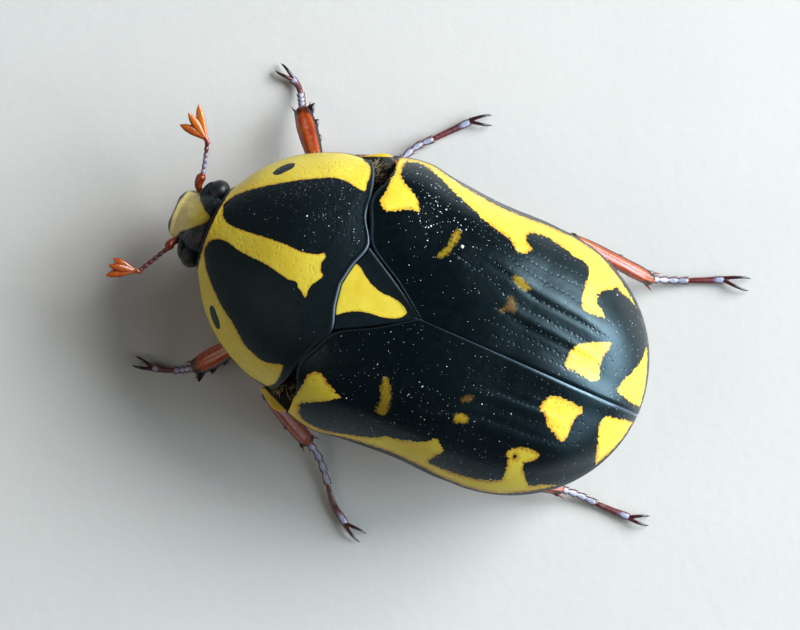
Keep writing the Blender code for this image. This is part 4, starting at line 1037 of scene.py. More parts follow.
def make_scutellum():
    """A slightly hollowed triangle with its mark."""
    share = np.linspace(0.0, 1.0, SCUTELLUM_GRID)[:, None]
    side = np.linspace(-1.0, 1.0, SCUTELLUM_GRID)[None, :]
    half = SCUTELLUM_HALF_BASE * (1 - share) ** 0.93 + 0.05 * share
    base = pronotum_rear(np.abs(side) * SCUTELLUM_HALF_BASE) + 0.12
    x, y = side * half, base + (SCUTELLUM_TIP - base) * share
    rim = half * (1 - np.abs(side))
    sink = SCUTELLUM_SINK + 0.05 * step_between(rim, 0.05, 0.6)
    points = np.stack([x, y, back_height(x, y) - sink], axis=-1)
    normal = grid_normals(points, UPWARD)
    lift = 0.04 * bell(rim - 0.04, 0.06) + 0.003 * soft_noise(points, 0.3, 3)
    points = points + normal * lift[..., None]
    random = np.random.default_rng(12)
    spots = random.integers(5, SCUTELLUM_GRID - 6, (2, SCUTELLUM_PITS))
    depths, radii = np.full(SCUTELLUM_PITS, 0.007), np.full(SCUTELLUM_PITS, 0.035)
    points, pit = press_pits(points, normal, *spots, depths, radii)
    yellow = np.minimum(depth_inside(YELLOW_WEDGE, x, y), rim - 0.1)
    # Painted highlight: only the right edge, which faces the light, gets the rim field and so a pale blue
    # line.
    fields = shell_fields(x, yellow=yellow, pit=0.4 * pit, rim=bell(rim, 0.06) * (x < 0.1), ragged=0.6)
    shape = turned_under(points, normal, fields)
    make_piece("scutellum_triangle", shape, pronotum_finish, "yellow_cuticle", "scutellum")


make_scutellum()

# %% [markdown]
# Under the plates lies the body itself: the core of the front segment, the thorax, the abdomen with its
# overlapping rings and the last plate below the tips of the wing cases. From above they are hidden, but seen
# from the side or below they show, so they get their furrows, punctures and colours too. The photograph
# does not show them, and they follow related beetles: a dark brown cuticle with yellow spots along the sides.

# %% Build the finish of the underside
UNDERSIDE_DARK = (0.012, 0.007, 0.006, 1.0)
UNDERSIDE_BROWN = (0.05, 0.017, 0.009, 1.0)
UNDERSIDE_YELLOW = (0.7, 0.45, 0.03, 1.0)


def underside_finish():
    """Dark brown cuticle with yellow spots at its sides. The mesh carries the fields yellow and pit."""
    material, shader, place = new_finish("underside_cuticle", ior=1.52)
    fine = jitter(place, 5.0, 0.25)
    depth = plus(field(place, "yellow"), fine)
    dark = mix_colours(noise(place, 1.2, 4.0), UNDERSIDE_DARK, UNDERSIDE_BROWN)
    colour = mix_colours(ramp(depth, -0.02, 0.04), dark, UNDERSIDE_YELLOW)
    colour = mix_colours(times(field(place, "pit"), 0.6), colour, DEEP_BLACK)
    gloss = uneven(place, 2.0, 0.26, 0.42)
    dress(shader, colour, gloss, bump(noise(place, 12.0, 3.0), 0.01))
    return material


underside = underside_finish()
print("finish:", underside.name)

# %% [markdown]
# The belly line and the width of the body come from the solids. A ring of the body is a low arch under the
# plates, a ledge below their edge, and the belly. The rings of the abdomen overlap like tiles: each one rises
# a little towards its hind edge and then drops to the next.

# %% Make prosternum, thorax and abdomen
SHELL = 0.6
GAP = 0.3
BODY_INSET = SHELL + GAP
LEDGE_INSET = 0.3
BELLY_ROUND = 1.6
BODY_PITS = 900
belly_line = smooth((
    (-10.4, 3.7), (-9.2, 2.9), (-7.5, 2.3), (-5.2, 1.9), (-3.5, 1.4), (1.0, 1.3), (4.0, 1.45), (7.0, 1.85),
    (10.15, 2.75),
))
thorax_shoulder = smooth(((-4.9, 4.6), (-4.4, 5.15), (-3.7, 6.2), (-2.4, 7.1)))


def body_surface(y, half_top, ridge, half_ledge, edge, roundness):
    """Rings of the body at places y, each running round from the ridge to the belly and back."""
    columns = [np.asarray(values, float)[:, None] for values in (y, half_top, ridge, half_ledge, edge)]
    y, half_top, ridge, half_ledge, edge = columns
    upper = np.linspace(0.0, 90.0, 14)
    dome_x = half_top * across(upper, roundness[0])
    dome_z = edge + (ridge - edge) * up(upper, roundness[1])
    ledge = edge - 0.16
    lower = np.radians(np.linspace(0.0, 90.0, 70))
    belly_x = half_ledge * np.cos(lower) ** (2 / BELLY_ROUND)
    belly_z = ledge - (ledge - belly_line(y)) * np.sin(lower) ** (2 / BELLY_ROUND)
    x = np.concatenate([dome_x, half_top, belly_x], axis=1)
    z = np.concatenate([dome_z, ledge, belly_z], axis=1)
    x = np.concatenate([x, -x[:, -2:0:-1]], axis=1)
    z = np.concatenate([z, z[:, -2:0:-1]], axis=1)
    return np.stack([x, np.broadcast_to(y, x.shape), z], axis=-1)


def closed_shape(grid, **fields):
    """A grid of rings with both ends closed, as a shape with its fields."""
    rows, columns = grid.shape[:2]
    points = grid.reshape(-1, 3)
    ends = [list(range(columns)), list(range((rows - 1) * columns, rows * columns))[::-1]]
    faces = outside_out(points, grid_faces(rows, columns, closed=True)) + ends
    return points, faces, {key: values.ravel() for key, values in fields.items()}


def dressed_body(name, grid, lift, yellow, seed, node, extra=()):
    """A body segment with its furrows, a fine roughness, punctures and side spots."""
    below = step_between(5.0 - grid[..., 2], 0.0, 0.4)
    middle = np.stack([np.zeros_like(grid[..., 0]), grid[..., 1], np.full_like(grid[..., 0], 4.6)], axis=-1)
    normal = grid_normals(grid, grid - middle)
    grain = 0.02 * soft_noise(grid, 0.5, seed) + 0.008 * soft_noise(grid, 0.18, seed + 1)
    skin = grid + normal * ((lift + grain) * below)[..., None]
    random = np.random.default_rng(seed + 2)
    rows = random.integers(2, grid.shape[0] - 2, BODY_PITS)
    columns = random.integers(16, grid.shape[1] - 16, BODY_PITS)
    size = random.uniform(0.6, 1.2, BODY_PITS)
    skin, pit = press_pits(skin, normal, rows, columns, 0.035 * size, 0.09 * size)
    body = closed_shape(skin, yellow=yellow, pit=pit)
    make_piece(name, join([body, *extra]), underside, "black_cuticle", node)
    return skin, normal


def prosternum():
    """The front segment below the pronotum."""
    y = np.linspace(-10.4, -5.2, 90)
    half = pronotum_width(y)
    grid = body_surface(y, half - BODY_INSET, pronotum_ridge(y) - BODY_INSET, half - LEDGE_INSET,
                        pronotum_edge(y), PRONOTUM_ROUND)
    x, z = np.abs(grid[..., 0]), grid[..., 2]
    yellow = np.minimum(0.55 - np.abs(z - pronotum_edge(grid[..., 1]) + 0.75), 0.45 * x - 1.6)
    lift = -0.05 * bell(x - 3.0, 0.12)
    return dressed_body("front_body", grid, lift, yellow, 60, "prosternum")


def abdomen():
    """The belly behind the legs, in overlapping rings."""
    y = np.linspace(3.62, 10.4, 150)
    top = elytra_half_width(y, BODY_INSET)
    ledge = np.maximum(elytra_half_width(y, LEDGE_INSET), top + 0.2)
    grid = body_surface(y, top, elytra_height(y, BODY_INSET), ledge, elytra_edge(y), ELYTRA_ROUND)
    joints = np.array([3.0, 4.75, 6.0, 7.2, 8.35, 9.4, 11.0])
    place = grid[..., 1]
    ring = np.clip(np.searchsorted(joints, place) - 1, 0, 5)
    share = (place - joints[ring]) / (joints[ring + 1] - joints[ring])
    lift = 0.1 * share**1.5 - 0.09 * bell(place - joints[ring], 0.07)
    height = elytra_edge(place) - 0.95 - grid[..., 2]
    yellow = 0.42 - np.hypot((share - 0.55) * 1.3, height * 0.75)
    return dressed_body("belly", grid, lift, yellow, 70, "abdomen")


prosternum_skin = prosternum()
abdomen_skin = abdomen()

# %% [markdown]
# Legs, antennae, palps, spines and the knob between the middle legs are all tubes along a bent line whose
# width and thickness change on the way. One function makes them, with rounded ends. A relief may be pressed
# into a tube by a function of the place along it and round it.

# %% Make tubes along a line
END_ANGLES = np.radians(np.linspace(84.0, 14.0, 6))


def path_line(path):
    """A function from share of the length to place on a smooth line through the path's points."""
    points = np.array(path, float)
    reach = reach_along(points[None])[0]
    curves = [smooth(list(zip(reach, points[:, axis]))) for axis in range(3)]
    return lambda share: np.stack([curve(share * reach[-1]) for curve in curves], axis=-1)


def tube(path, sizes, sides=28, rings=44, relief=None):
    """Rings of a tube. sizes holds share, half-width and half-thickness. Returns points, share and turn."""
    line = path_line(path)
    width = smooth([(share, wide) for share, wide, _ in sizes])
    thickness = smooth([(share, thick) for share, _, thick in sizes])
    level = np.linspace(0.0, 1.0, rings)
    share = np.concatenate([np.zeros(6), level, np.ones(6)])
    push = np.concatenate([-np.sin(END_ANGLES), np.zeros(rings), np.sin(END_ANGLES[::-1])])
    shrink = np.concatenate([np.cos(END_ANGLES), np.ones(rings), np.cos(END_ANGLES[::-1])])
    ahead = unit(line(np.minimum(share + 0.01, 1.0)) - line(np.maximum(share - 0.01, 0.0)))
    side = unit(np.cross(ahead, UPWARD))
    rise = np.cross(side, ahead)
    turn = (2 * math.pi * (np.arange(sides) + 0.5) / sides)[None, :]
    swell = 1.0 if relief is None else 1.0 + relief(share[:, None], turn)
    wide = (width(share) * shrink)[:, None] * np.cos(turn) * swell
    thick = (thickness(share) * shrink)[:, None] * np.sin(turn) * swell
    middle = line(share) + ahead * (push * np.minimum(width(share), thickness(share)))[:, None]
    points = middle[:, None] + side[:, None] * wide[..., None] + rise[:, None] * thick[..., None]
    return points, np.broadcast_to(share[:, None], wide.shape), np.broadcast_to(turn, wide.shape)


def tube_shape(path, sizes, dark=0.0, **settings):
    """A tube as a shape with a field named dark, a number or a function of share and turn."""
    points, share, turn = tube(path, sizes, **settings)
    shade = dark(share, turn) if callable(dark) else np.full(share.shape, float(dark))
    return closed_shape(points, dark=shade)


print("a tube has", len(tube_shape(((0, 0, 0), (1, 0, 0)), ((0, 1, 1), (1, 1, 1)))[1]), "faces")

# %% [markdown]
# The thorax carries the middle and hind legs. Between the middle legs a blunt knob points forward, a mark of
# this group of beetles. Along its middle runs a fine furrow.

# %% Make the thorax and the last plate
def thorax():
    """The middle of the body with its furrows and knob."""
    y = np.linspace(-4.95, 3.58, 150)
    half = np.minimum(elytra_half_width(y), thorax_shoulder(y))
    top = np.minimum(elytra_half_width(y, BODY_INSET), half - BODY_INSET)
    ledge = np.minimum(elytra_half_width(y, LEDGE_INSET), half - LEDGE_INSET)
    grid = body_surface(y, top, elytra_height(y, BODY_INSET), ledge, elytra_edge(y), ELYTRA_ROUND)
    x, place = np.abs(grid[..., 0]), grid[..., 1]
    furrow = -0.07 * bell(x, 0.09) * step_between(place, -3.2, -1.5)
    seam = -0.07 * bell(place + 1.9 + 0.22 * x, 0.1)
    hind_seam = -0.07 * bell(place - 1.3 + 0.12 * x, 0.1) * step_between(x, 0.4, 1.0)
    height = elytra_edge(place) - 0.9 - grid[..., 2]
    yellow = 0.5 - np.hypot((place + 0.2) * 0.5, height * 0.9)
    yellow = np.maximum(yellow, 0.42 - np.hypot((place - 2.6) * 0.7, height * 0.8))
    knob_path = ((0.0, -4.4, 2.0), (0.0, -5.2, 1.38), (0.0, -5.75, 1.3))
    points, faces, _ = tube_shape(knob_path, ((0.0, 0.85, 0.5), (0.6, 0.62, 0.42), (1.0, 0.45, 0.3)))
    knob = (points, faces, {"yellow": FAR_OUTSIDE, "pit": 0.0})
    return dressed_body("middle_body", grid, furrow + seam + hind_seam, yellow, 80, "thorax", [knob])


def pygidium():
    """The domed last plate, wrinkled across and with two yellow spots."""
    depth = np.linspace(0.0, 1.0, 80)[:, None]
    side = np.linspace(-1.0, 1.0, 130)[None, :]
    half = 2.6 * np.sqrt(1 - (0.96 * depth) ** 2)
    dome = 0.3 + 0.5 * (1 - side**2) * (1 - 0.6 * depth**2)
    x, y = side * half, 10.55 - 0.252 * depth + dome
    grid = np.stack([x, y, 4.6 - 2.1 * depth + 0.0 * side], axis=-1)
    normal = grid_normals(grid, np.array([0.0, 1.0, 0.0]))
    wander = soft_noise(grid, 0.6, 90)
    waves = np.sin((grid[..., 2] * 2.0 + x * 0.25 + wander * 0.5) * 14.0)
    skin = grid + normal * (0.012 * waves + 0.01 * soft_noise(grid, 0.25, 91))[..., None]
    height = grid[..., 2] - 3.75
    yellow = 0.6 - np.hypot((np.abs(x) - 1.15) * 0.8, height)
    fields = {"yellow": yellow, "pit": np.zeros_like(x)}
    make_piece("last_plate", turned_under(skin, normal, fields), underside, "black_cuticle", "pygidium")


thorax_skin = thorax()
pygidium()

# %% [markdown]
# The head is a short blunt shovel. Its front plate, the clypeus, is pale yellow with a raised rim that is
# dark below, and the yellow runs back between the eyes as a wedge. The rest is blue black and densely
# punctured. Below are the mouthparts, of which the palps show. The head gets the finest grid for its size,
# because people look at it first.

# %% Build the finish of the head
CLYPEUS_CREAM = (0.84, 0.73, 0.3, 1.0)
CLYPEUS_YELLOW = (0.74, 0.58, 0.06, 1.0)
HEAD_BLACK = (0.003, 0.006, 0.008, 1.0)
HEAD_BLUE = (0.014, 0.028, 0.034, 1.0)
MOUTH_BROWN = (0.09, 0.025, 0.01, 1.0)


def head_finish():
    """Blue black grainy cuticle with the wedge, cream in front. Fields: yellow, pit, brown and cream."""
    material, shader, place = new_finish("head_cuticle", ior=1.55)
    fine = jitter(place, 8.0, 0.12)
    depth = plus(field(place, "yellow"), fine)
    cream = plus(field(place, "cream"), fine)
    light = mix_colours(ramp(cream, 0.0, 1.0), CLYPEUS_YELLOW, CLYPEUS_CREAM)
    light = mix_colours(times(field(place, "pit"), 0.2), light, EDGE_BROWN)
    light = mix_colours(ramp(depth, 0.0, 0.1, 0.4, 0.0), light, EDGE_BROWN)
    dark = mix_colours(ramp(noise(place, 7.0, 4.0), 0.42, 0.62), HEAD_BLACK, HEAD_BLUE)
    colour = mix_colours(ramp(depth, -0.03, 0.03), dark, light)
    colour = mix_colours(field(place, "brown"), colour, MOUTH_BROWN)
    gloss = uneven(place, 3.0, 0.36, 0.5)
    dress(shader, colour, gloss, bump(noise(place, 16.0, 3.0), 0.008))
    return material


head_cuticle = head_finish()
print("finish:", head_cuticle.name)

# %% [markdown]
# The head is a row of rounded rings from the neck to the front rim. The rings of the clypeus bend back at
# the corners so that its front is a gentle arc with a shallow notch, and its edge is lifted into a rim. A
# short ridge runs from behind each corner into the front of the eye.

# %% Make the head
HEAD_ROUND = 2.7
HEAD_FRONT = -13.2
HEAD_RINGS = 150
HEAD_SIDES = 132
HEAD_PITS = 1500
CLYPEUS_HALF = 1.22
CORNER_BACK = 0.36
head_half = smooth((
    (-13.2, 1.22), (-13.0, 1.34), (-12.7, 1.38), (-12.35, 1.45), (-11.95, 1.6), (-11.5, 1.62), (-11.1, 1.45),
    (-10.6, 1.3),
))
head_top = smooth((
    (-13.2, 3.92), (-13.0, 4.08), (-12.7, 4.36), (-12.35, 4.72), (-11.95, 5.12), (-11.5, 5.4), (-11.1, 5.42),
    (-10.6, 5.2),
))
head_bottom = smooth((
    (-13.2, 3.25), (-13.0, 2.95), (-12.7, 2.65), (-12.35, 2.5), (-11.95, 2.45), (-11.5, 2.55), (-11.1, 2.75),
    (-10.6, 3.0),
))
EYE_RIDGE = ((1.27, -12.22, 4.45), (1.74, -12.02, 4.42), (2.06, -11.74, 4.36))
EYE_RIDGE_SIZES = ((0.0, 0.19, 0.14), (0.6, 0.23, 0.14), (1.0, 0.14, 0.1))
HEAD_YELLOW = (
    (-1.45, -12.54), (-1.03, -12.26), (-0.77, -12.01), (-0.54, -11.69), (-0.41, -11.4), (-0.1, -11.45),
    (0.26, -11.83), (0.48, -12.07), (0.75, -12.43), (0.98, -12.58), (1.28, -12.62), (1.3, -12.88),
    (0.9, -13.06), (0.45, -13.15), (-0.05, -13.18), (-0.55, -13.16), (-1.1, -13.0), (-1.5, -12.8),
)


def bent_back(x):
    """How far the front of the clypeus bends back towards its corners."""
    return CORNER_BACK * np.abs(x / CLYPEUS_HALF) ** 3.5


def head_grid():
    """Rings of the head from its neck to its front."""
    y = np.linspace(-10.6, HEAD_FRONT, HEAD_RINGS)
    close = np.radians(np.linspace(10.0, 84.0, 7))
    y = np.concatenate([y, np.full(7, HEAD_FRONT)])[:, None]
    shrink = np.concatenate([np.ones(HEAD_RINGS), np.cos(close)])[:, None]
    push = np.concatenate([np.zeros(HEAD_RINGS), np.sin(close)])[:, None] * 0.12
    turn = (2 * math.pi * np.arange(HEAD_SIDES) / HEAD_SIDES)[None, :]
    cosine, sine = np.cos(turn), np.sin(turn)
    x = (head_half(y) - 0.3 * (1 - shrink)) * np.sign(cosine) * np.abs(cosine) ** (2 / HEAD_ROUND)
    middle, rise = (head_top(y) + head_bottom(y)) / 2, (head_top(y) - head_bottom(y)) / 2
    z = middle + rise * shrink * np.sign(sine) * np.abs(sine) ** (2 / HEAD_ROUND)
    forward = step_between(-y, 12.2, -HEAD_FRONT)
    notch = 0.07 * bell(x, 0.4)
    return np.stack([x, y - push + forward * (notch + bent_back(x)), z], axis=-1)


def make_head():
    """The head with its rim, punctures and wedge."""
    grid = head_grid()
    x, y, z = grid[..., 0], grid[..., 1], grid[..., 2]
    normal = grid_normals(grid, grid - np.array([0.0, -11.8, 4.0]))
    facing_up = step_between(normal[..., 2], 0.15, 0.6)
    front_edge = np.abs(y - (-13.12 + bent_back(x)))
    side_edge = np.abs(head_half(y) - np.abs(x))
    on_clypeus = step_between(-y, 12.2, 12.5)
    rim = 0.11 * bell(front_edge, 0.11) + 0.07 * bell(side_edge, 0.1) * on_clypeus
    keel = 0.05 * bell(x, 0.16) * step_between(-y, 11.2, 11.8) * (1 - step_between(-y, 12.3, 12.8))
    hollow = -0.06 * bell(np.abs(x) - 0.7, 0.3) * step_between(-y, 11.8, 12.4)
    lift = (rim + keel + hollow) * facing_up
    lift = lift + 0.006 * soft_noise(grid, 0.5, 14) + 0.002 * soft_noise(grid, 0.12, 15)
    skin = grid + normal * lift[..., None]
    random = np.random.default_rng(16)
    rows = random.integers(8, HEAD_RINGS - 4, HEAD_PITS)
    columns = random.integers(0, HEAD_SIDES, HEAD_PITS)
    size = random.uniform(0.7, 1.2, HEAD_PITS)
    yellow = np.minimum(depth_inside(HEAD_YELLOW, x, y), normal[..., 2] - 0.12)
    depth = np.where(yellow[rows, columns] > 0, 0.008, 0.022)
    skin, pit = press_pits(skin, normal, rows, columns, depth * size, 0.04 * size)
    brown = 0.8 * (1 - step_between(z, 2.9, 3.6))
    cream = 1 - step_between(y, -12.75, -11.9)
    shapes = [closed_shape(skin, yellow=yellow, pit=pit, brown=brown, cream=cream)]
    for side in (-1, 1):
        ridge = [(side * x, y, z) for x, y, z in EYE_RIDGE]
        points, faces, _ = tube_shape(ridge, EYE_RIDGE_SIZES, sides=14)
        shapes.append((points, faces, {"yellow": FAR_OUTSIDE, "pit": 0.0, "brown": 0.0, "cream": 0.0}))
    make_piece("head_capsule", join(shapes), head_cuticle, "yellow_cuticle", "head")


make_head()

# %% [markdown]
# The compound eyes sit at the sides of the head, black and satin, with thousands of lenses. Each is a
# rounded dome, and the lenses are a faint six-sided pattern in its surface.

# %% Make the eyes
EYE_CENTRE = np.array([1.68, -11.54, 4.3])
EYE_RADII = np.array([0.62, 0.56, 0.58])
EYE_BLACK = (0.004, 0.005, 0.007, 1.0)
EYE_BLUE = (0.016, 0.026, 0.032, 1.0)


def eye_finish():
    """Satin black with blue grey clouds."""
    material, shader, place = new_finish("eye_lenses", ior=1.5, coat_weight=0.12, coat_roughness=0.15)
    colour = mix_colours(ramp(noise(place, 4.0), 0.35, 0.7), EYE_BLACK, EYE_BLUE)
    gloss = uneven(place, 6.0, 0.34, 0.5, detail=2.0)
    lenses = add(place, "TexVoronoi", {"Vector": place, "Scale": 28.0}).outputs["Distance"]
    dress(shader, colour, gloss, bump(minus(1.0, lenses), 0.006))
    return material


def make_eye(side_name, side):
    """One compound eye."""
    tip = np.radians(np.linspace(2, 178, 90))[:, None]
    turn = (2 * np.pi * np.arange(120) / 120)[None, :]
    tip, turn = np.broadcast_arrays(tip, turn)
    ball = np.stack([np.cos(tip), np.sin(tip) * np.cos(turn), np.sin(tip) * np.sin(turn)], axis=-1)
    u, v = tip * 26.0, turn * 24.0 * np.sin(tip)
    lenses = np.cos(u) * np.cos(v / 2) + np.cos(v)
    points = EYE_CENTRE * np.array([side, 1, 1]) + ball * EYE_RADII * (1 + 0.0025 * lenses)[..., None]
    make_piece(f"compound_eye_{side_name}", closed_shape(points), eye_lenses, "eye_lens", f"eye_{side_name}")


eye_lenses = eye_finish()
for side_name, side in SIDES.items():
    make_eye(side_name, side)

# %% [markdown]
# Legs and antennae are glossy and orange red to red brown, with darker joints, edges and teeth. The tops of
# the feet and tibiae and the stalks of the antennae carry a pale lavender painted highlight, which stands for
# the sky mirrored in them. One function makes their finishes. The field named dark tells where the cuticle
# turns to black, or to the painted highlight where it is below zero, and a few constants set how bright the
# rest is.

# %% Build the finish of legs and antennae
def horn_finish(name, light, deep, dark, roughness, coat, painted_sheen=(0.3, 0.3, 0.4, 1.0)):
    """Glossy horn between two tones, dark where the mesh's field is high, with painted highlight where it is
    below 0.
    """
    material, shader, place = new_finish(name, ior=1.54, coat_weight=coat, coat_roughness=0.12)
    tone = mix_colours(ramp(noise(place, 1.3, 3.0), 0.3, 0.7), light, deep)
    worn = jitter(place, 4.0, 0.5)
    level = plus(field(place, "dark"), worn)
    colour = mix_colours(ramp(level, 0.2, 0.8), tone, dark)
    # Painted highlight: where the field dark is below zero the colour turns to the pale highlight colour.
    colour = mix_colours(ramp(level, -0.9, -0.1, 1.0, 0.0), colour, painted_sheen)
    gloss = uneven(place, 5.0, roughness - 0.06, roughness + 0.1)
    dress(shader, colour, gloss, bump(noise(place, 10.0, 3.0), 0.012))
    return material


leg_finish = horn_finish("leg_red_brown", light=(0.5, 0.085, 0.004, 1.0), deep=(0.3, 0.03, 0.005, 1.0),
                         dark=(0.012, 0.004, 0.004, 1.0), roughness=0.26, coat=0.2,
                         painted_sheen=(0.62, 0.4, 0.4, 1.0))
foot_finish = horn_finish("foot_dark_red", light=(0.16, 0.022, 0.018, 1.0), deep=(0.07, 0.012, 0.016, 1.0),
                          dark=(0.012, 0.006, 0.01, 1.0), roughness=0.26, coat=0.4,
                          painted_sheen=(0.36, 0.4, 0.56, 1.0))
coxa_finish = horn_finish("coxa_dark_brown", light=(0.06, 0.018, 0.01, 1.0), deep=(0.03, 0.01, 0.007, 1.0),
                          dark=(0.008, 0.005, 0.005, 1.0), roughness=0.3, coat=0.2)
club_finish = horn_finish("club_orange", light=(0.62, 0.16, 0.006, 1.0), deep=(0.48, 0.1, 0.006, 1.0),
                          dark=(0.22, 0.022, 0.006, 1.0), roughness=0.24, coat=0.4)
print("four horny finishes made")

# %% [markdown]
# The antennae are short: a stout shining first joint, a thin stalk of small beads and a club of three flat
# leaves, which this beetle holds spread like a fan. Below the head two palps point forward.

# %% Make antennae and palps
ANTENNAE = {
    "right": {
        "scape": ((-1.38, -12.5, 3.95), (-1.7, -12.66, 4.03), (-2.16, -12.64, 4.2)),
        "funicle": ((-2.16, -12.64, 4.2), (-2.95, -12.83, 4.35), (-3.75, -13.07, 4.5)),
        "leaves": ((-5.17, -14.13, 4.85), (-4.6, -14.4, 4.95), (-3.93, -14.55, 4.8)),
        "redness": (0.1, 0.1, 0.5),
        "painted_sheen": 0.8,
    },
    "left": {
        "scape": ((1.3, -12.5, 3.95), (1.5, -12.7, 4.05), (1.84, -12.76, 4.2)),
        "funicle": ((1.84, -12.76, 4.2), (2.68, -13.2, 4.3), (3.45, -13.6, 4.4)),
        "leaves": ((3.34, -14.93, 4.7), (3.74, -14.98, 4.85), (4.24, -14.92, 4.7)),
        "redness": (0.45, 0.5, 0.55),
        "painted_sheen": 0.25,
    },
}
FUNICLE_BEADS = 6
BEAD_MIDDLE = 0.62
SCAPE_SIZES = ((0.0, 0.15, 0.15), (0.5, 0.22, 0.22), (0.85, 0.23, 0.22), (1.0, 0.14, 0.14))
CUP_SIZES = ((0.0, 0.11, 0.11), (0.6, 0.13, 0.13), (1.0, 0.12, 0.12))
LEAF_SIZES = (
    (0.0, 0.07, 0.08), (0.25, 0.15, 0.12), (0.55, 0.22, 0.14), (0.82, 0.17, 0.11), (1.0, 0.05, 0.04),
)
PALP_PATH = ((0.75, -12.1, 2.4), (0.95, -12.6, 2.15), (0.95, -12.95, 2.2))
PALP_SIZES = (
    (0.0, 0.18, 0.18), (0.3, 0.22, 0.2), (0.38, 0.14, 0.14), (0.6, 0.2, 0.19), (0.68, 0.13, 0.13),
    (0.86, 0.2, 0.18), (1.0, 0.1, 0.1),
)


def bead_sizes(beads, waist, swell):
    """Sizes of a row of beads."""
    sizes = [(0.0, waist, waist)]
    for bead in range(beads):
        sizes.append(((bead + BEAD_MIDDLE) / beads, swell, swell))
        sizes.append(((bead + 1) / beads, waist, waist))
    return sizes


def make_antenna(side_name):
    """Scape, beaded stalk and fanned club of one antenna."""
    joints = ANTENNAE[side_name]
    scape = tube_shape(joints["scape"], SCAPE_SIZES,
                       dark=lambda share, turn: 0.55 - 0.15 * step_between(share, 0.0, 0.3))
    make_piece(f"scape_{side_name}", scape, leg_finish, "red_brown_cuticle", f"antenna_{side_name}_scape")
    # Painted highlight: the stalk's field dips below zero towards its base, more on the lit right antenna.
    stalk = tube_shape(joints["funicle"], bead_sizes(FUNICLE_BEADS, 0.09, 0.125), rings=120, sides=24,
                       dark=lambda share, turn: 0.3 + 0.2 * np.cos(share * FUNICLE_BEADS * 2 * math.pi)
                       - joints["painted_sheen"] * step_between(share, 0.9, 0.5))
    make_piece(f"stalk_{side_name}", stalk, foot_finish, "red_brown_cuticle", f"antenna_{side_name}_funicle")
    root = np.array(joints["funicle"][-1])
    tips = np.array(joints["leaves"])
    ahead = unit(tips.mean(axis=0) - root)
    cup = root + ahead * 0.2
    shapes = [tube_shape((root - ahead * 0.08, (root + cup) / 2, cup), CUP_SIZES, dark=0.6)]
    for tip, redness in zip(tips, joints["redness"]):
        middle = cup + (tip - cup) * 0.5 + ahead * 0.06
        shapes.append(tube_shape((cup - ahead * 0.1, middle, tip), LEAF_SIZES, rings=50, sides=24,
                                 dark=lambda share, turn: redness + 0.5 * np.abs(np.cos(turn)) ** 4,
                                 relief=lambda share, turn: 0.012 * np.sin(share * 60.0)))
    make_piece(f"club_{side_name}", join(shapes), club_finish, "orange_cuticle", f"antenna_{side_name}_club")


def make_palp(side_name, side):
    """One feeler of the mouth, in three joints."""
    path = [(side * x, y, z) for x, y, z in PALP_PATH]
    shape = tube_shape(path, PALP_SIZES, rings=70, sides=22,
                       dark=lambda share, turn: 0.3 * np.cos(share * 18.0))
    make_piece(f"mouth_palp_{side_name}", shape, club_finish, "orange_cuticle", f"palp_{side_name}")


for side_name, side in SIDES.items():
    make_antenna(side_name)
    make_palp(side_name, side)

# %% [markdown]
# Each leg has a coxa sunk in the body, a stout femur, a ridged tibia with teeth on its outer edge and two
# spurs at its end, and a thin foot of five joints with two curved claws. The joints' places are those of the
# solids, which follow the photograph. Here the parts run into one another at the joints as the real ones do.

# %% Give the legs their places and sizes
FOOT_LEVEL = 0.23
LEGS = {
    "front_right": {
        "knee": (-4.18, -7.16, 2.75),
        "ankle": (-7.08, -9.54, 1.1),
        "foot": ((-7.66, -9.88, 0.6), (-8.18, -10.28, 0.3), (-8.44, -10.78, FOOT_LEVEL)),
        "claws": (-8.69, -11.68, 0.12),
    },
    "front_left": {
        "knee": (3.96, -7.11, 2.75),
        "ankle": (6.75, -9.26, 1.1),
        "foot": ((7.17, -9.86, 0.55), (7.5, -10.55, 0.28), (7.73, -11.4, FOOT_LEVEL)),
        "claws": (7.77, -12.4, 0.12),
    },
    "middle_right": {
        "knee": (-5.7, -6.4, 3.4),
        "ankle": (-6.5, -4.25, 0.9),
        "foot": ((-7.78, -3.64, 0.4), (-8.68, -2.86, FOOT_LEVEL), (-10.13, -1.59, FOOT_LEVEL)),
        "claws": (-10.58, -0.64, 0.12),
    },
    "middle_left": {
        "knee": (6.55, -5.38, 3.1),
        "ankle": (7.89, -2.73, 0.95),
        "foot": ((8.5, -1.8, 0.45), (9.45, -0.95, 0.3), (10.35, -0.2, FOOT_LEVEL), (11.06, 0.84, FOOT_LEVEL)),
        "claws": (11.31, 1.89, 0.12),
    },
    "hind_right": {
        "knee": (-6.63, 5.28, 3.2),
        "ankle": (-6.41, 9.7, 1.0),
        "foot": ((-6.77, 10.71, 0.4), (-7.27, 11.87, FOOT_LEVEL), (-7.96, 13.33, FOOT_LEVEL)),
        "claws": (-8.21, 14.59, 0.12),
    },
    "hind_left": {
        "knee": (6.01, 4.96, 3.2),
        "ankle": (5.0, 9.78, 1.0),
        "foot": ((4.95, 10.88, 0.4), (4.99, 12.18, FOOT_LEVEL), (4.95, 13.78, FOOT_LEVEL)),
        "claws": (4.7, 14.73, 0.12),
    },
}
COXAE_ON_THE_LEFT = {
    "front": ((1.2, -8.8, 3.5), (2.1, -8.5, 1.9)),
    "middle": ((1.9, -3.3, 2.6), (2.9, -4.1, 1.6)),
    "hind": ((1.7, 1.2, 2.6), (3.2, 2.2, 1.5)),
}
COXA_SIZES = ((0.0, 0.75, 0.75), (0.5, 0.85, 0.8), (1.0, 0.55, 0.5))
FEMUR_SIZES = ((0.0, 0.36, 0.36), (0.25, 0.78, 0.6), (0.6, 0.84, 0.62), (0.85, 0.58, 0.48), (1.0, 0.3, 0.28))
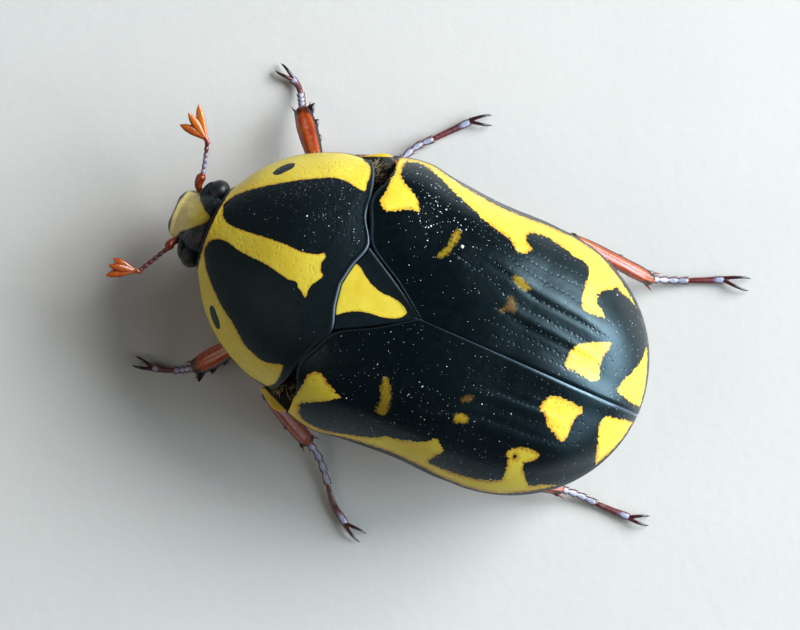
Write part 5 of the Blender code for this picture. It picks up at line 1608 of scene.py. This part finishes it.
TIBIA_SIZES = {
    "front": ((0.0, 0.24, 0.24), (0.1, 0.3, 0.28), (0.3, 0.38, 0.31), (0.75, 0.5, 0.33), (1.0, 0.42, 0.28)),
    "middle": ((0.0, 0.22, 0.22), (0.1, 0.28, 0.27), (0.3, 0.34, 0.31), (0.8, 0.38, 0.34), (1.0, 0.36, 0.3)),
    "hind": ((0.0, 0.24, 0.24), (0.1, 0.28, 0.27), (0.3, 0.33, 0.3), (0.8, 0.36, 0.33), (1.0, 0.33, 0.29)),
}
TIBIA_TEETH = {
    "front": ((0.58, 0.16, 0.6), (0.78, 0.24, 0.7), (0.97, 0.4, 0.9)),
    "middle": ((0.55, 0.18, 1.0), (0.95, 0.22, 1.1)),
    "hind": ((0.55, 0.16, 1.0), (0.95, 0.2, 1.1)),
}
TOOTH_SINK = 0.18
TOOTH_RADIUS = {"front": 0.3, "middle": 0.2, "hind": 0.2}


def pair_and_side(leg_name):
    """The pair that a leg belongs to, and 1 for the left or -1 for the right."""
    pair, side_name = leg_name.split("_")
    return pair, SIDES[side_name]


def coxa_ends(leg_name):
    """The inner and the outer end of a leg's coxa."""
    pair, side = pair_and_side(leg_name)
    return [np.array(end) * (side, 1, 1) for end in COXAE_ON_THE_LEFT[pair]]


print("legs:", ", ".join(LEGS))

# %% [markdown]
# The femur is smooth and swollen. The tibia has fine ridges along it, and its outer edge and teeth are almost
# black. Every tooth is a short flat cone with its root sunk in the edge, and the whole tibia is one piece.

# %% Make coxae, femora and tibiae
def spike(base, tip, radius, dark, flat=1.0):
    """A tapering tooth or spur that bends a little."""
    middle = (base + tip) / 2 + 0.04 * UPWARD
    sizes = [(share, radius * wide, radius * wide * flat)
             for share, wide in ((0.0, 1.0), (0.4, 0.72), (0.8, 0.32), (1.0, 0.1))]
    return tube_shape((base, middle, tip), sizes, sides=14, rings=16, dark=dark)


def tibia_shapes(pair, side, knee, ankle):
    """The shaft, teeth and spurs of a tibia."""
    ahead = unit(ankle - knee)
    turned = -side if pair == "front" else side
    outward = unit(np.cross(ahead, turned * UPWARD))
    outer_turn = 0.0 if turned > 0 else math.pi
    edge_width, painted_highlight_strength = (0.3, 0.2) if pair == "front" else (0.12, 0.6)

    def ridges(share, turn):
        return 0.05 * np.cos(turn * 6) * step_between(share, 0.05, 0.2) + 0.02 * np.cos(turn * 14 + share * 9)

    def edge_tone_and_painted_highlight(share, turn):
        outer = bell(np.cos(turn - outer_turn) - 1.0, edge_width)
        joint = bell(share, 0.06) + 1.3 * step_between(share, 0.86, 0.98)
        # Painted highlight: a pale stripe along the top of the tibia's upper part, pushed below zero.
        upper = bell(turn - math.pi / 2, 0.3) * step_between(share, 0.05, 0.3)
        return np.clip(0.9 * outer + 0.6 * joint, 0.0, 1.0) - painted_highlight_strength * upper

    path = (knee, (knee + ankle) / 2 + 0.08 * UPWARD, ankle)
    shapes = [tube_shape(path, TIBIA_SIZES[pair], sides=40, rings=80, relief=ridges, dark=edge_tone_and_painted_highlight)]
    width = smooth([(share, wide) for share, wide, _ in TIBIA_SIZES[pair]])
    for share, length, lean in TIBIA_TEETH[pair]:
        base = knee + (ankle - knee) * share + outward * (width(share) - TOOTH_SINK)
        point = base + unit(outward + ahead * lean + 0.25 * UPWARD) * (length + TOOTH_SINK)
        shapes.append(spike(base, point, TOOTH_RADIUS[pair], 1.2, flat=0.25))
    for turn in (-1, 1):
        base = ankle - ahead * 0.25 + outward * turn * 0.22 - 0.1 * UPWARD
        shapes.append(spike(base, base + unit(ahead + outward * turn * 0.4) * 0.75, 0.1, 0.5))
    return shapes


def make_upper_leg(leg_name, joints):
    """Coxa, femur and tibia of one leg."""
    start, end = coxa_ends(leg_name)
    knee, ankle = np.array(joints["knee"]), np.array(joints["ankle"])
    coxa = tube_shape((start, (start + end) / 2, end), COXA_SIZES, rings=40, dark=0.3,
                      relief=lambda share, turn: 0.012 * np.sin(turn * 9 + share * 30))
    make_piece(f"{leg_name}_coxa_horn", coxa, coxa_finish, "black_cuticle", f"leg_{leg_name}_coxa")

    def wrinkles(share, turn):
        return 0.01 * np.sin(turn * 5 + share * 7) + 0.008 * np.sin(share * 40)

    def knee_shade(share, turn):
        return 0.75 * step_between(share, 0.84, 1.0) + 0.2 * np.cos(turn) ** 8

    femur = tube_shape((end, (end + knee) / 2, knee), FEMUR_SIZES, rings=70, sides=40, relief=wrinkles,
                       dark=knee_shade)
    make_piece(f"{leg_name}_femur_horn", femur, leg_finish, "red_brown_cuticle", f"leg_{leg_name}_femur")
    tibia = join(tibia_shapes(*pair_and_side(leg_name), knee, ankle))
    make_piece(f"{leg_name}_tibia_horn", tibia, leg_finish, "red_brown_cuticle", f"leg_{leg_name}_tibia")


for leg_name, joints in LEGS.items():
    make_upper_leg(leg_name, joints)

# %% [markdown]
# A foot has four short joints, each a little cup that widens to its end, and a long fifth one with the two
# claws. The feet stand on the floor with their last joints, so no point of them may lie below it.

# %% Make the feet and claws
TARSUS_JOINTS = (0.0, 0.13, 0.26, 0.39, 0.53)
LAST_JOINT_SIZES = [
    (0.53, 0.14, 0.13), (0.6, 0.15, 0.14), (0.8, 0.17, 0.16), (0.93, 0.2, 0.18), (1.0, 0.13, 0.12),
]
CLAW_SIZES = ((0.0, 0.1, 0.12), (0.4, 0.085, 0.11), (0.8, 0.05, 0.07), (1.0, 0.015, 0.015))
CLAW_SPREAD = 0.24


def tarsus_sizes():
    """Sizes of the five joints of a foot."""
    sizes = []
    for start, end in zip(TARSUS_JOINTS, TARSUS_JOINTS[1:]):
        span = end - start
        sizes += [(start, 0.15, 0.14), (start + span * 0.35, 0.17, 0.16), (start + span * 0.82, 0.21, 0.19)]
    return sizes + LAST_JOINT_SIZES


def make_foot(leg_name, joints):
    """Five joints, two claws and the small bristles between the joints."""
    ankle, end, tip = (np.array(p) for p in (joints["ankle"], joints["foot"][-1], joints["claws"]))
    path = (ankle,) + joints["foot"]

    def joint_tone_and_painted_highlight(share, turn):
        seams = np.cos(share / 0.13 * 2 * math.pi) * (share < 0.53)
        # Painted highlight: the tops of the joints dip below zero, most on the first four and at the end of
        # the last.
        upper = bell(turn - math.pi / 2, 0.9)
        painted_sheen = np.where(share < 0.53, 1.15 - 0.15 * seams, 0.35 + 1.1 * bell(share - 0.93, 0.06))
        return 0.6 + 0.2 * seams - 0.3 * (share > 0.56) * (share < 0.9) - 1.4 * upper * painted_sheen

    shapes = [tube_shape(path, tarsus_sizes(), sides=26, rings=150, dark=joint_tone_and_painted_highlight)]
    ahead = tip - end
    aside = np.array([-ahead[1], ahead[0], 0.0])
    arch = 0.2 * UPWARD
    for turn in (-1, 1):
        hook = (
            end - ahead * 0.1 + aside * turn * 0.05 + arch * 0.2,
            end + ahead * 0.35 + aside * turn * 0.17 + arch,
            end + ahead * 0.72 + aside * turn * 0.24 + arch * 0.8,
            tip - ahead * 0.06 + aside * turn * CLAW_SPREAD,
        )
        shapes.append(tube_shape(hook, CLAW_SIZES, sides=16, rings=36,
                                 dark=lambda share, turn: 0.4 + 0.7 * share))
    line = path_line(path)
    for share in TARSUS_JOINTS[1:]:
        here = line(share - 0.02)
        forward = unit(line(share + 0.02) - here)
        out = unit(np.cross(forward, UPWARD))
        for turn in (-1, 1):
            root = here + out * turn * 0.16
            shapes.append(spike(root, root + unit(forward + out * turn * 0.5) * 0.16, 0.025, 0.7))
    foot = join(shapes)
    foot[0][:, 2] = np.maximum(foot[0][:, 2], 0.0)
    make_piece(f"{leg_name}_foot", foot, foot_finish, "red_brown_cuticle", f"leg_{leg_name}_tarsus")


for leg_name, joints in LEGS.items():
    make_foot(leg_name, joints)

# %% [markdown]
# Between the hind corner of the pronotum and the shoulder of the wing case a small side plate shows on each
# side. It has a yellow strip outside and is blackish and hairy within.

# %% Make the side plates
SIDE_PLATE_OUTLINE = (
    (4.7, -4.68), (5.35, -4.95), (5.82, -5.06), (6.1, -5.35), (6.25, -5.8), (6.5, -5.53), (6.78, -5.12),
    (6.93, -4.72), (6.82, -4.3), (6.3, -3.98), (5.4, -3.95), (4.7, -4.25),
)
SIDE_PLATE_BOTTOM = 3.9
SIDE_PLATE_TOP = 5.15
SIDE_PLATE_STRETCH = {"left": 1.0, "right": -0.965}
PLATE_YELLOW = (0.74, 0.5, 0.03, 1.0)
PLATE_BLACK = (0.012, 0.01, 0.008, 1.0)


def side_plate_finish():
    """Yellow cuticle that turns blackish towards the inside."""
    material, shader, place = new_finish("side_plate_cuticle", ior=1.5)
    worn = jitter(place, 5.0, 0.6)
    shade = ramp(plus(field(place, "dark"), worn), 0.35, 0.65)
    colour = mix_colours(shade, PLATE_YELLOW, PLATE_BLACK)
    gloss = uneven(place, 3.0, 0.36, 0.5, detail=2.0)
    dress(shader, colour, gloss, bump(noise(place, 9.0, 3.0), 0.02))
    return material


side_plate_cuticle = side_plate_finish()


def make_side_plate(side_name):
    """One side plate as rounded outlines stacked from below."""
    outline = rounded(SIDE_PLATE_OUTLINE, 8)
    middle = outline.mean(axis=0)
    close = np.radians(np.linspace(8.0, 84.0, 14))
    wall = np.linspace(SIDE_PLATE_BOTTOM, SIDE_PLATE_TOP, 26)
    height = np.concatenate([wall, SIDE_PLATE_TOP + 0.2 * np.sin(close)])
    shrink = np.concatenate([np.ones(len(wall)), np.cos(close)])
    rings = []
    for z, size in zip(height, shrink):
        ring = (middle + (outline - middle) * size) * (SIDE_PLATE_STRETCH[side_name], 1.0)
        rings.append(np.column_stack([ring, np.full(len(ring), z)]))
    grid = np.array(rings)
    grid = grid + 0.02 * soft_noise(grid, 0.2, 33)[..., None]
    x, y = np.abs(grid[..., 0]), grid[..., 1]
    from_strip = x - 6.26 - 0.42 * (y + 5.39)
    dark = 1 - step_between(from_strip, -0.08, 0.08) * step_between(grid[..., 2], 4.6, 5.0)
    make_piece(f"side_plate_{side_name}", closed_shape(grid, dark=dark), side_plate_cuticle, "yellow_cuticle",
               f"mesepimeron_{side_name}")
    return grid


side_plates = {side_name: make_side_plate(side_name) for side_name in SIDES}

# %% [markdown]
# Real hairs are too thin for a render of this size, and an export drops hair systems, so every hair here is
# a small mesh: a bent cone of three sides. All hairs of one part are one piece. Each has its own place in a
# map for baking, at its root's place on the skin.

# %% Make hairs
HAIR_RINGS = ((0.0, 1.0), (0.45, 0.8), (0.8, 0.45))
HAIR_PATCH = 0.003
# any direction that no hair points in, to find the sides of a hair
HAIR_ASIDE = np.array([0.31, 0.52, 0.8])


def hairs(roots, directions, lengths, radius, droop):
    """A shape of many hairs, each three sides of three rings and a tip."""
    roots, ahead = np.asarray(roots, float), unit(np.asarray(directions, float))
    lengths = np.asarray(lengths, float)[:, None]
    side = unit(np.cross(ahead, HAIR_ASIDE))
    rise = np.cross(ahead, side)
    droop = np.asarray(droop, float)
    points = []
    for share, size in HAIR_RINGS:
        middle = roots + ahead * lengths * share + droop * lengths * share**2
        for k in range(3):
            turn = 2 * math.pi * k / 3
            points.append(middle + (side * math.cos(turn) + rise * math.sin(turn)) * radius * size)
    points.append(roots + ahead * lengths + droop * lengths)
    points = np.stack(points, axis=1)
    pattern = []
    for ring in (0, 3):
        for k in range(3):
            pattern.append([ring + k, ring + (k + 1) % 3, ring + 3 + (k + 1) % 3, ring + 3 + k])
    caps = [[6, 7, 9], [7, 8, 9], [8, 6, 9], [2, 1, 0]]
    start = 10 * np.arange(len(roots))[:, None, None]
    quads = (start + np.array(pattern)[None]).reshape(-1, 4).tolist()
    corners = (start + np.array(caps)[None]).reshape(-1, 3).tolist()
    return points.reshape(-1, 3), quads + corners, {}


def bake_map(places):
    """Map places of the hairs' points: a small patch for each hair at its root's place between 0 and 1."""
    spread = np.array([(k % 3, k // 3) for k in range(10)]) / 3 * HAIR_PATCH
    return (np.asarray(places)[:, None, :] * (1 - HAIR_PATCH) + spread[None]).reshape(-1, 2)


def hair_finish(name, root_colour, tip_colour, roughness):
    """Horny hair, lighter and darker from hair to hair."""
    material, shader, place = new_finish(name, ior=1.5)
    shade = ramp(noise(place, 6.0), 0.3, 0.7)
    gloss = ramp(shade, 0.0, 1.0, roughness, roughness + 0.15)
    dress(shader, mix_colours(shade, root_colour, tip_colour), gloss)
    return material


golden_hair = hair_finish("golden_hair", (0.8, 0.62, 0.3, 1.0), (0.95, 0.86, 0.6, 1.0), 0.4)
pale_hair = hair_finish("pale_hair", (0.5, 0.42, 0.28, 1.0), (0.78, 0.7, 0.5, 1.0), 0.45)
red_bristle = hair_finish("red_bristle", (0.14, 0.04, 0.015, 1.0), (0.3, 0.1, 0.03, 1.0), 0.3)
print("hair finishes made")

# %% [markdown]
# Hairs grow where they do on the real beetle: pale ones on the underside and golden ones on the inner part of
# the side plates, which fill the gap beside the hind corners of the pronotum. Their places are drawn from the
# grids of the skins, with a fixed seed.

# %% Grow the hairs of the body
def grow_on(grid, normal, count, seed, wanted, lean, lengths, radius):
    """Roots, directions and lengths of hairs on a grid, where wanted(points) is above a random draw."""
    random = np.random.default_rng(seed)
    rows = random.integers(1, grid.shape[0] - 1, count)
    columns = random.integers(1, grid.shape[1] - 1, count)
    roots = grid[rows, columns]
    kept = random.uniform(0, 1, count) < wanted(roots)
    roots, out = roots[kept], normal[rows, columns][kept]
    places = np.column_stack([columns[kept] / grid.shape[1], rows[kept] / grid.shape[0]])
    directions = out * 0.8 + np.array(lean) + random.normal(0, 0.22, roots.shape)
    size = random.uniform(*lengths, len(roots))
    return hairs(roots - out * 0.02, directions, size, radius, (0, 0, -0.15)), bake_map(places)


def underside_hairs(name, skin, count, seed, wanted):
    """The pale hairs of one body segment."""
    shape, places = grow_on(*skin, count, seed, wanted, (0.0, 0.5, -0.1), (0.35, 0.8), 0.014)
    make_piece(name, shape, pale_hair, "black_cuticle", bake_places=places)


def on_sides(roots):
    """More hairs on the flanks than in the middle, none above the ledge."""
    flank = step_between(np.abs(roots[:, 0]), 1.2, 4.5)
    return (0.15 + 0.85 * flank) * (roots[:, 2] < 4.3)


underside_hairs("front_body_hairs", prosternum_skin, 2600, 101, on_sides)
underside_hairs("middle_body_hairs", thorax_skin, 4200, 102, on_sides)
underside_hairs("belly_hairs", abdomen_skin, 2200, 103, lambda roots: 0.35 * on_sides(roots))


def in_gap(roots):
    """Only the dark inner part of a side plate, away from the pronotum's corner."""
    return 1.0 * (np.abs(roots[:, 0]) < 6.1) * (roots[:, 1] > -5.3)


for side_name, side in SIDES.items():
    grid = side_plates[side_name]
    out = grid_normals(grid, grid - grid.reshape(-1, 3).mean(axis=0))
    shape, places = grow_on(grid, out, 650, 104 + side, in_gap, (0.7 * side, 0.5, 0.5), (0.25, 0.5), 0.02)
    make_piece(f"side_plate_hairs_{side_name}", shape, golden_hair, "yellow_cuticle", bake_places=places)

# %% [markdown]
# Short stiff bristles stand in rows along the femur and tibia, red brown like the legs.

# %% Grow the bristles of the legs
# turns round the leg at which the rows stand
BRISTLE_ROWS = (0.15, 2.0, 3.0, 4.3)


def leg_bristles(leg_name, joints, seed):
    """Rows of bristles along one leg, in one piece."""
    random = np.random.default_rng(seed)
    hip, knee, ankle = coxa_ends(leg_name)[1], np.array(joints["knee"]), np.array(joints["ankle"])
    tibia_sizes = TIBIA_SIZES[pair_and_side(leg_name)[0]]
    roots, directions, places = [], [], []
    for start, end, sizes, count in ((hip, knee, FEMUR_SIZES, 50), (knee, ankle, tibia_sizes, 70)):
        ahead = unit(end - start)
        side = unit(np.cross(ahead, UPWARD))
        rise = np.cross(side, ahead)
        width, thick = (smooth([(row[0], row[k]) for row in sizes]) for k in (1, 2))
        for _ in range(count):
            share = random.uniform(0.12, 0.95)
            turn = random.choice(BRISTLE_ROWS) + random.normal(0, 0.12)
            out = side * math.cos(turn) + rise * math.sin(turn)
            surface = side * math.cos(turn) * width(share) + rise * math.sin(turn) * thick(share)
            roots.append(start + (end - start) * share + surface * 0.93)
            directions.append(out * 0.6 + ahead * 0.9 + random.normal(0, 0.12, 3))
            places.append((turn / 6.5, share))
    lengths = random.uniform(0.1, 0.2, len(roots))
    shape = hairs(roots, directions, lengths, 0.01, (0, 0, -0.1))
    make_piece(f"{leg_name}_bristles", shape, red_bristle, "red_brown_cuticle",
               bake_places=bake_map(np.clip(places, 0, 1)))


for seed, (leg_name, joints) in enumerate(LEGS.items()):
    leg_bristles(leg_name, joints, 200 + seed)

# %% [markdown]
# The photograph shows fine white specks on the front half of the wing cases, more of them on the right, and
# very fine ones on the right of the pronotum. A few are dust and scales, but most are painted glints: pale
# grains for light caught in the punctures. Each is a tiny flat grain that lies on the skin. Most punctures
# hold a fine pale grain too, a painted glint, which draws their rows as lines of dots.

# %% Scatter the white specks
SPECK_BLUISH = (0.75, 0.8, 0.85, 1.0)
SPECK_WHITE = (0.9, 0.9, 0.88, 1.0)
SPECK_HALF_HEIGHT = 0.02


def dust_and_glint_finish():
    """Matt white grains for dust and for painted glints."""
    material, shader, place = new_finish("white_dust_and_painted_glints", roughness=0.7)
    gloss = uneven(place, 5.0, 0.5, 0.8, detail=2.0)
    dress(shader, mix_colours(noise(place, 3.0), SPECK_BLUISH, SPECK_WHITE), gloss)
    return material


def speck(root, out, long, random):
    """One flat grain with its middle at root."""
    side = unit(np.cross(out, random.normal(0, 1, 3)))
    other = np.cross(out, side)
    wide = long * random.uniform(0.5, 1.0)
    rim = [side * long, other * wide, -side * long, -other * wide]
    points = np.array([root + edge for edge in rim + [out * SPECK_HALF_HEIGHT, -out * SPECK_HALF_HEIGHT]])
    faces = [[k, (k + 1) % 4, 4] for k in range(4)] + [[(k + 1) % 4, k, 5] for k in range(4)]
    return points, faces, {}


def specks_on(grid, normal, count, seed, size, wanted):
    """Small flat grains on a grid, where wanted(x, y) is above a random draw."""
    random = np.random.default_rng(seed)
    shapes = []
    for _ in range(count):
        row, column = random.integers(5, grid.shape[0] - 5), random.integers(5, grid.shape[1] - 5)
        root, out = grid[row, column], normal[row, column]
        if random.uniform() < wanted(root[0], root[1]):
            shapes.append(speck(root, out, size * (0.6 + 0.5 * random.exponential()), random))
    return shapes


def painted_glints_in_pits(elytron, seed, size, chance):
    """A painted glint: a fine pale grain on the floor of some of the punctures of a wing case."""
    points, normal, (rows, columns) = elytron
    random = np.random.default_rng(seed)
    kept = [place for place in zip(rows, columns) if random.uniform() < chance]
    return [speck(points[place], normal[place], size * random.uniform(0.6, 1.2), random) for place in kept]


def cloud(x, y, middle_x, middle_y, reach_x, reach_y):
    """A soft heap of chances round a place."""
    return math.exp(-(((x - middle_x) / reach_x) ** 2) - ((y - middle_y) / reach_y) ** 2)


# Most of these grains are painted glints, more on the lit right side; a few stand for real dust.
specks = specks_on(*right_elytron[:2], 2600, 301, 0.03,
                   lambda x, y: cloud(x, y, -5.1, -1.2, 1.2, 1.8) + 0.03)
specks += specks_on(*left_elytron[:2], 1500, 302, 0.014,
                    lambda x, y: 0.5 * cloud(x, y, 3.0, 1.0, 4.0, 5.0) + 0.05)
specks += painted_glints_in_pits(right_elytron, 304, 0.024, 0.95)
specks += painted_glints_in_pits(left_elytron, 305, 0.014, 0.6)
specks += specks_on(pronotum_skin, pronotum_normal, 300, 303, 0.018,
                    lambda x, y: 0.9 * cloud(x, y, -3.4, -6.3, 1.8, 2.0) + 0.1)
specks += specks_on(pronotum_skin, pronotum_normal, 3400, 306, 0.0095,
                    lambda x, y: 0.7 * cloud(x, y, -3.6, -6.6, 2.1, 2.6))
make_piece("dust_and_painted_glints", join(specks), dust_and_glint_finish(), "black_cuticle")

# %% [markdown]
# The last step prints how many pieces and triangles were made.

# %% Measure and finish
print("pieces:", len(triangles), "triangles:", sum(triangles.values()))
